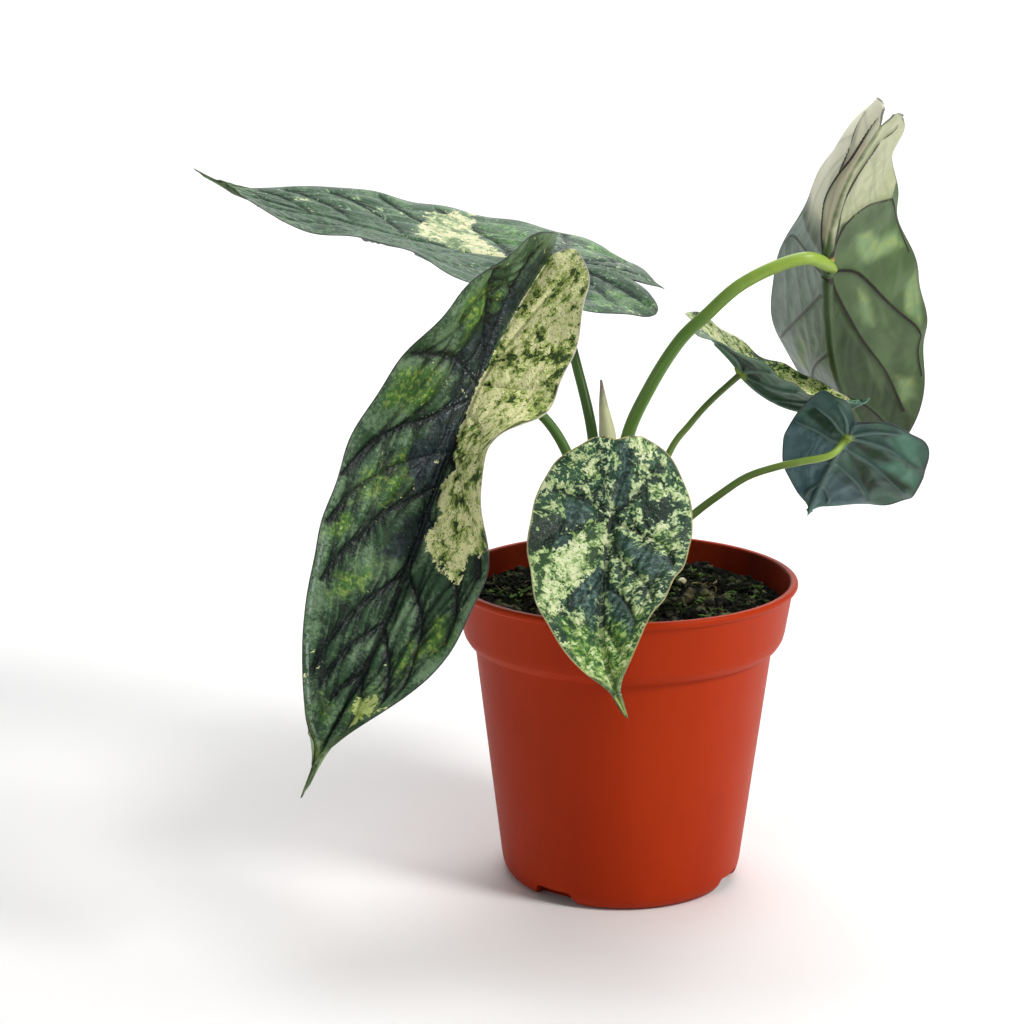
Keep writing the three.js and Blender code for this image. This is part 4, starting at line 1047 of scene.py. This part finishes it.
def pot_plastic():
    """Polypropylene from a satin mould: even colour with faint flow bands, fine scuffs and a soft wide
    highlight. The mould's grain is finer than the render shows, so it is drawn at about 0.4 mm."""
    material, tree = new_material("injection_moulded_polypropylene")
    coords = add(tree, **OBJECT_PLACE)
    banded = add(tree, {"Vector": coords, "Scale": (30, 30, 7)}, **MAPPING)
    flow = add(tree, {"Vector": banded, "Scale": 1.0, "Detail": 3.0}, **NOISE)
    drawn = add(tree, {"Vector": coords, "Rotation": (0.3, 0.5, 0.4), "Scale": (1400, 160, 900)}, **MAPPING)
    scuff = add(tree, {"Vector": drawn, "Scale": 1.0, "Detail": 4.0}, **NOISE)
    dust = add(tree, {"Vector": coords, "Scale": 55.0, "Detail": 6.0}, **NOISE)
    pebble = add(tree, {"Vector": coords, "Scale": 2600.0, "Detail": 1.0}, **NOISE)
    body = add(tree, {0: add(tree, (flow, 0.35, 0.65), **STEP), 6: "a42b02", 7: "ae3104"}, **BLEND)
    for where, low, high, amount, tone in (
            (scuff, 0.64, 0.78, 0.18, "c65a34"), (dust, 0.55, 0.8, 0.25, "8a2c10")):
        share = add(tree, (add(tree, (where, low, high), **STEP), amount), **TIMES)
        body = add(tree, {0: share, 6: body, 7: tone}, **BLEND)
    # The inner wall, where the surface faces the pot's axis, is darkened: partly by damp peat dust and partly
    # by painted shade inside the pot
    level = add(tree, (coords, (1, 1, 0)), kind="ShaderNodeVectorMath", operation="MULTIPLY")
    normal = add(tree, kind="ShaderNodeTexCoord", out=1)
    facing = add(tree, (normal, level), kind="ShaderNodeVectorMath", operation="DOT_PRODUCT", out=1)
    inside = add(tree, (facing, -0.01, -0.03), **STEP)
    inside = add(tree, (inside, add(tree, (dust, 0.9, 0.1), **TIMES_PLUS)), **TIMES)
    body = add(tree, {0: inside, 6: body, 7: "351508"}, **BLEND)
    rough = add(tree, (dust, 0.14, 0.36), **TIMES_PLUS)
    rough = add(tree, (scuff, 0.08, rough), **TIMES_PLUS)
    height = add(tree, (pebble, 0.5, scuff), **TIMES_PLUS)
    bump = add(tree, {"Strength": 0.12, "Distance": 0.0002, "Height": height}, **BUMP)
    plastic = add(tree, {"Base Color": body, "Roughness": rough, "IOR": 1.49, "Specular IOR Level": 0.1,
                         "Normal": bump}, **SURFACE)
    add(tree, {"Surface": plastic}, **OUTPUT)
    return material


def nursery_pot():
    """Moulded pot: turned from its profile, with four drain notches cut at the foot."""
    profile = [(0, 0), (38, 0), (40.2, 1.2), (41.6, 3.4), (42.2, 6), (51.7, 84), (52.1, 85), (53.8, 85),
               (55.4, 87.6), (56, 90), (58.3, 104.6), (59.6, 105.2), (60, 105.8), (60, 106.8), (59.4, 107.4),
               (57.7, 107.4), (57.3, 106.9), (56.7, 103.4), (54.4, 90), (50.1, 84), (40.6, 6), (38, 2.4),
               (0, 2.4)]
    pot = lathe("terracotta_coloured_pot", rounded(profile, 0.5), 240)
    notch = ((-10, -1), (10, -1), (6.9, 4.6), (6.2, 5.2), (-6.2, 5.2), (-6.9, 4.6))
    corners = len(notch)
    points, faces = [], []
    for angle in NOTCH_ANGLES:
        a = math.radians(angle)
        out, across = np.array([math.cos(a), math.sin(a), 0]), np.array([-math.sin(a), math.cos(a), 0])
        start = len(points)
        points += [out * depth + across * y + np.array([0, 0, z]) for depth in (34, 60) for y, z in notch]
        inner, outer = range(start, start + corners), range(start + corners, start + 2 * corners)
        faces += [tuple(inner)[::-1], tuple(outer)]
        faces += walls([start, start + corners], corners)
    cutter = make_object("notch_cutter", points, faces, False)
    cut = pot.modifiers.new("notches", "BOOLEAN")
    cut.operation, cut.solver, cut.object = "DIFFERENCE", "EXACT", cutter
    pot = plain_copy(pot, "moulded_nursery_pot")
    bpy.data.objects.remove(cutter)
    pot.data.set_sharp_from_angle(angle=math.radians(35))
    pot.data.materials.clear()
    pot.data.materials.append(pot_plastic())
    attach(pot, "root")
    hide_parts("nursery_pot")


def plain_copy(source, name):
    """The evaluated object as a plain mesh piece. The source is removed."""
    mesh = bpy.data.meshes.new_from_object(source.evaluated_get(bpy.context.evaluated_depsgraph_get()))
    mesh.name = name
    piece = bpy.data.objects.new(name, mesh)
    SCENE.collection.objects.link(piece)
    bpy.data.objects.remove(source)
    return piece


nursery_pot()


# Peat
SOIL_TOP, SOIL_FOOT, OUTER = 98.5, 2.7, 55.1
STUMP_X, HOLE, HOLE_FLOOR = -4.0, 10.3, 79.7
# Loose bits lie on faces whose upward share is above this, and above this height in metres
FACES_UP, LEAST_HEIGHT = 0.35, 0.0915


def soil_relief(x, y, share):
    """Broad lumps of the soil's top, the same as in the solids."""
    fade = np.sin(np.pi * np.clip(share, 0, 1)) ** 0.5
    lumps = (np.sin(x * 0.21 + 1.3) * np.cos(y * 0.19 - 0.7) + 0.6 * np.sin(x * 0.43 - y * 0.37 + 2.1)
             + 0.5 * np.cos(x * 0.31 + y * 0.53))
    return fade * (0.9 + lumps * 1.5)


def crumb_relief(x, y, share):
    """Crumbs and hollows on top of the broad lumps, from waves in many directions."""
    rng = np.random.default_rng(11)
    total = np.zeros_like(x)
    for size, height in ((9, 0.8), (5.5, 0.9), (3.4, 0.7), (2.1, 0.42), (1.4, 0.24)):
        for _ in range(5):
            turn, phase = rng.uniform(0, 2 * math.pi, 2)
            k = 2 * math.pi / (size * rng.uniform(0.8, 1.25))
            total += height / 2.2 * np.sin(k * (x * math.cos(turn) + y * math.sin(turn)) + phase)
    return total * np.clip(np.minimum(share, 1 - share) * 14, 0, 1)


def peat():
    """Filling of the pot: its wall, its lumpy top and the hole for the plant."""
    sides, rings = 288, 84
    angle = np.arange(sides) * 2 * math.pi / sides
    c, s = np.cos(angle), np.sin(angle)
    levels = [(37, SOIL_FOOT), (40.1, 6.5), (49.6, 84), (53.8, 90.5)]
    layers = [np.stack([r * c, r * s, 0 * c + z], -1) for r, z in levels]
    for share in np.linspace(1, 0, rings):
        radius = HOLE + (OUTER - HOLE) * share
        x, y = STUMP_X * (1 - share) + radius * c, radius * s
        layers.append(np.stack([x, y, SOIL_TOP + soil_relief(x, y, share) + crumb_relief(x, y, share)], -1))
    layers.append(np.stack([STUMP_X + HOLE * c, HOLE * s, 0 * c + HOLE_FLOOR], -1))
    points = np.vstack(layers + [np.array([[0, 0, SOIL_FOOT], [STUMP_X, 0, HOLE_FLOOR]])])
    faces = walls([r * sides for r in range(len(layers))], sides)
    bottom, inner, last = len(points) - 2, len(points) - 1, (len(layers) - 1) * sides
    for i in range(sides):
        n = (i + 1) % sides
        faces += [(bottom, n, i), (inner, last + i, last + n)]
    return make_object("potting_peat", points, faces)


def peat_material():
    """Damp blond and black peat with a little moss: dull, dark and crumbly, and darker in the hollows of its
    grain.
    """
    material, tree = new_material("damp_sphagnum_peat")
    coords = add(tree, **OBJECT_PLACE)
    broad = add(tree, {"Vector": coords, "Scale": 60.0, "Detail": 4.0}, **NOISE)
    grain = add(tree, {"Vector": coords, "Scale": 700.0, "Detail": 4.0}, **NOISE)
    body = add(tree, {0: add(tree, (grain, 0.4, 0.68), **STEP), 6: "030302", 7: "14140e"}, **BLEND)
    for where, low, high, amount, tone in (
            (broad, 0.46, 0.6, 0.7, "1b2612"), (grain, 0.68, 0.76, 0.5, "3c3626")):
        share = add(tree, (add(tree, (where, low, high), **STEP), amount), **TIMES)
        body = add(tree, {0: share, 6: body, 7: tone}, **BLEND)
    bump = add(tree, {"Strength": 0.9, "Distance": 0.0012, "Height": grain}, **BUMP)
    damp = add(tree, {"Base Color": body, "Roughness": 0.85, "Specular IOR Level": 0.1,
                      "Normal": bump}, **SURFACE)
    add(tree, {"Surface": damp}, **OUTPUT)
    return material


def speck_material(name, first, second, roughness=0.8, sheen=0.12):
    """Small loose bits: one dull stuff in two tones, mottled at about 1 mm."""
    material, tree = new_material(name)
    tone = add(tree, {"Vector": add(tree, **OBJECT_PLACE), "Scale": 190.0, "Detail": 4.0}, **NOISE)
    body = add(tree, {0: add(tree, (tone, 0.46, 0.66), **STEP), 6: first, 7: second}, **BLEND)
    bump = add(tree, {"Strength": 0.4, "Distance": 0.0004, "Height": tone}, **BUMP)
    dull = add(tree, {"Base Color": body, "Roughness": roughness, "Specular IOR Level": sheen,
                      "Normal": bump}, **SURFACE)
    add(tree, {"Surface": dull}, **OUTPUT)
    return material


def crumb_shape(seed, rough=0.28):
    """A rough lump about 1 mm in radius, with 42 points."""
    rng = np.random.default_rng(seed)
    body = bmesh.new()
    bmesh.ops.create_icosphere(body, subdivisions=2, radius=MM)
    for v in body.verts:
        v.co *= rng.uniform(1 - rough, 1 + rough / 2)
        v.co.z *= 0.7
    mesh = bpy.data.meshes.new("crumb")
    body.to_mesh(mesh)
    body.free()
    lump = bpy.data.objects.new("crumb", mesh)
    SCENE.collection.objects.link(lump)
    return lump


def thread_shape(seed, length, radius, bend):
    """A thin bent thread with four sides, lying near level."""
    rng = np.random.default_rng(seed)
    joints, sides = 7, 4
    path = np.zeros((joints, 3))
    heading, tilt = 0.0, 0.1
    for i in range(1, joints):
        heading += rng.normal(0, bend)
        tilt = 0.6 * tilt + rng.normal(0, 0.25)
        step = np.array([math.cos(heading), math.sin(heading), math.sin(tilt)])
        path[i] = path[i - 1] + length / (joints - 1) * step
    path -= path.mean(axis=0)
    points = []
    for i, p in enumerate(path):
        r = radius * (1 - 0.5 * abs(i - 3) / 3)
        points += [p + (0, r * math.cos(a), r * math.sin(a)) for a in np.arange(sides) * math.pi / 2]
    faces = walls([sides * i for i in range(joints)], sides) + [(3, 2, 1, 0), (24, 25, 26, 27)]
    return make_object("thread", points, [f[::-1] for f in faces])


def scattered(name, host, shapes, material, density, sizes, sink, seed, reach, clumps=0.0):
    """Bits spread over the top of a host: a Geometry Nodes tree with named inputs, made a plain mesh. Reach
    is the greatest distance of a bit from the pot's axis, and clumps is how far the bits gather in patches."""
    tree = bpy.data.node_groups.new(name + "_spread", "GeometryNodeTree")
    settings = {"Bits per square metre": float(density), "Least size": sizes[0], "Greatest size": sizes[1],
                "Sink": sink, "Reach": reach, "Clumps": clumps}
    socket = tree.interface.new_socket
    socket("Geometry", in_out="INPUT", socket_type="NodeSocketGeometry")
    made = {label: socket(label, in_out="INPUT", socket_type="NodeSocketFloat") for label in settings}
    made["Seed"] = socket("Seed", in_out="INPUT", socket_type="NodeSocketInt")
    socket("Geometry", in_out="OUTPUT", socket_type="NodeSocketGeometry")
    given = tree.nodes.new("NodeGroupInput").outputs

    # Where the bits lie: on faces that look up, above the pot's step and within reach
    up = add(tree, (add(tree, kind="GeometryNodeInputNormal"),), kind="ShaderNodeSeparateXYZ", out=2)
    place = add(tree, kind="GeometryNodeInputPosition")
    height = add(tree, (place,), kind="ShaderNodeSeparateXYZ", out=2)
    level = add(tree, (place, (1, 1, 0)), kind="ShaderNodeVectorMath", operation="MULTIPLY")
    from_axis = add(tree, (level,), kind="ShaderNodeVectorMath", operation="LENGTH", out=1)
    tests = [add(tree, pair, kind="FunctionNodeCompare", operation=operation) for pair, operation in (
        ((up, FACES_UP), "GREATER_THAN"), ((height, LEAST_HEIGHT), "GREATER_THAN"),
        ((from_axis, given["Reach"]), "LESS_THAN"))]
    chosen = tests[0]
    for test in tests[1:]:
        chosen = add(tree, (chosen, test), kind="FunctionNodeBooleanMath", operation="AND")
    cloud = add(tree, {"Vector": place, "Scale": 70.0, "Detail": 1.0}, **NOISE)
    patchy = add(tree, (add(tree, (cloud, 0.47, 0.56), **STEP), -1.0), **PLUS)
    share = add(tree, (patchy, given["Clumps"], 1.0), **TIMES_PLUS)
    thickly = add(tree, (given["Bits per square metre"], share), **TIMES)
    spots = add(tree, {"Mesh": given["Geometry"], "Selection": chosen, "Density": thickly,
                       "Seed": given["Seed"]}, kind="GeometryNodeDistributePointsOnFaces")

    # The bits themselves, each turned, sized and lowered
    bits = tree.nodes.new("GeometryNodeJoinGeometry")
    for shape in shapes:
        info = add(tree, {"Object": shape, "As Instance": True}, kind="GeometryNodeObjectInfo",
                   out="Geometry")
        tree.links.new(info, bits.inputs[0])
    turn = add(tree, {0: (-0.5, -0.5, -3.14), 1: (0.5, 0.5, 3.14), "Seed": given["Seed"]},
               kind="FunctionNodeRandomValue", data_type="FLOAT_VECTOR")
    grow = add(tree, {2: given["Least size"], 3: given["Greatest size"], "Seed": given["Seed"]},
               kind="FunctionNodeRandomValue", data_type="FLOAT", out=1)
    placed = add(tree, {"Points": spots, "Instance": bits.outputs[0], "Pick Instance": True, "Rotation": turn,
                        "Scale": grow}, kind="GeometryNodeInstanceOnPoints")
    lower = add(tree, {2: given["Sink"]}, kind="ShaderNodeCombineXYZ")
    sunk = add(tree, {"Instances": placed, "Translation": lower, "Local Space": False},
               kind="GeometryNodeTranslateInstances")
    real = add(tree, (sunk,), kind="GeometryNodeRealizeInstances")
    painted = add(tree, {"Geometry": real, "Material": material}, kind="GeometryNodeSetMaterial")
    add(tree, (painted,), kind="NodeGroupOutput")
    carrier = bpy.data.objects.new(name + "_carrier", host.data.copy())
    SCENE.collection.objects.link(carrier)
    modifier = carrier.modifiers.new("spread", "NODES")
    modifier.node_group = tree
    for label, value in dict(settings, Seed=seed).items():
        modifier[made[label].identifier] = value
    piece = plain_copy(carrier, name)
    for shape in shapes:
        bpy.data.objects.remove(shape)
    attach(piece, "root")


soil = peat()
soil.data.materials.append(peat_material())
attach(soil, "root")
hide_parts("peat_soil")

scattered("peat_crumbs", soil, [crumb_shape(s) for s in (1, 2, 3)],
          speck_material("dry_peat_crumbs", "030302", "56583c"),
          density=62000, sizes=(0.4, 2.3), sink=-0.0003, seed=3, reach=0.053)
scattered("bark_chips", soil, [crumb_shape(s) for s in (5, 6)],
          speck_material("composted_bark", "060503", "544f38"),
          density=9000, sizes=(1.4, 3.8), sink=-0.0002, seed=8, reach=0.051)
scattered("peat_fibres", soil, [thread_shape(s, 9, 0.22, 0.3) for s in (21, 22, 23, 24)],
          speck_material("sphagnum_fibres", "1a160d", "665a3e"),
          density=16000, sizes=(0.5, 1.3), sink=0.0004, seed=5, reach=0.047)
scattered("moss_strands", soil, [thread_shape(s, 5, 0.34, 0.5) for s in (31, 32, 33)],
          speck_material("dark_green_moss", "162009", "5c7a3c"),
          density=210000, sizes=(0.5, 1.5), sink=0.0006, seed=6, reach=0.0495, clumps=1.0)
scattered("root_threads", soil, [thread_shape(s, 15, 0.4, 0.35) for s in (41, 42, 43)],
          speck_material("pale_fine_roots", "6e5c40", "a8946c"),
          density=1600, sizes=(0.6, 1.1), sink=0.0016, seed=15, reach=0.045)
scattered("perlite_grains", soil, [crumb_shape(9)],
          speck_material("expanded_perlite", "b4ae9c", "dcd8ca"),
          density=1500, sizes=(0.3, 0.65), sink=0.0003, seed=13, reach=0.052)

granule = crumb_shape(7, 0.05)
granule.name = granule.data.name = "round_feed_granule"
granule_place, granule_shape = (0.0206, 0.0152, 0.1013), (1.7, 1.7, 2.2, 1)
granule.data.transform(Matrix.Translation(granule_place) @ Matrix.Diagonal(granule_shape))
granule.data.materials.append(speck_material("coated_feed_granule", "cfc39a", "ece6cc", 0.45, 0.5))
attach(granule, "root")


# Stump and spear
def bark_material(name, first, second, third):
    """Short leafy stem with old leaf scars and papery sheaths: dry, dull and finely lined, at about
    0.6 mm."""
    material, tree = new_material(name)
    coords = add(tree, **OBJECT_PLACE)
    ringed = add(tree, {"Vector": coords, "Scale": (90, 90, 900)}, **MAPPING)
    rings = add(tree, {"Vector": ringed, "Scale": 1.0, "Detail": 3.0}, **NOISE)
    blotch = add(tree, {"Vector": coords, "Scale": 160.0, "Detail": 4.0}, **NOISE)
    body = add(tree, {0: add(tree, (rings, 0.4, 0.62), **STEP), 6: first, 7: second}, **BLEND)
    spots = add(tree, (add(tree, (blotch, 0.5, 0.68), **STEP), 0.7), **TIMES)
    body = add(tree, {0: spots, 6: body, 7: third}, **BLEND)
    bump = add(tree, {"Strength": 0.5, "Distance": 0.0005, "Height": rings}, **BUMP)
    bark = add(tree, {"Base Color": body, "Roughness": 0.72, "Normal": bump}, **SURFACE)
    add(tree, {"Surface": bark}, **OUTPUT)
    return material


STUMP_PROFILE = [(0, 80), (8, 80), (10, 83), (10, 99.3), (9.3, 99.7), (10.3, 100.4), (9.8, 101.3), (9.0, 102),
                 (0, 102)]
stump = lathe("leaf_scarred_stump", rounded(STUMP_PROFILE, 0.5), 72, STUMP_X)
stump.data.materials.append(bark_material("corky_stump_skin", "5b4a33", "7c6a48", "6c7a44"))
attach(stump, "root")
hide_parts("stem_stump")

SPEAR_PATH = [(-4, 0, 102.3), (-4.6, 0, 125), (-6, 0, 154), (-7.6, 0, 167), (-8.5, 0, 176)]
SPEAR_RADII = [3.0, 3.3, 3.3, 2.9, 0.35]
SPEAR_SHARES = np.linspace(0, 1, len(SPEAR_RADII))
spear = tube("rolled_new_leaf", SPEAR_PATH,
             lambda share: float(np.interp(share, SPEAR_SHARES, SPEAR_RADII)), 32, 90, rib=0.03)
spear_skin = stem_skin("new_leaf_sheath", "a3ab78", "bcc096", "6f5a5c", "cfcdae", turn=(0.86, 0.99))
spear.data.materials.append(spear_skin)
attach(spear, "root")
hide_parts("new_leaf_spear")
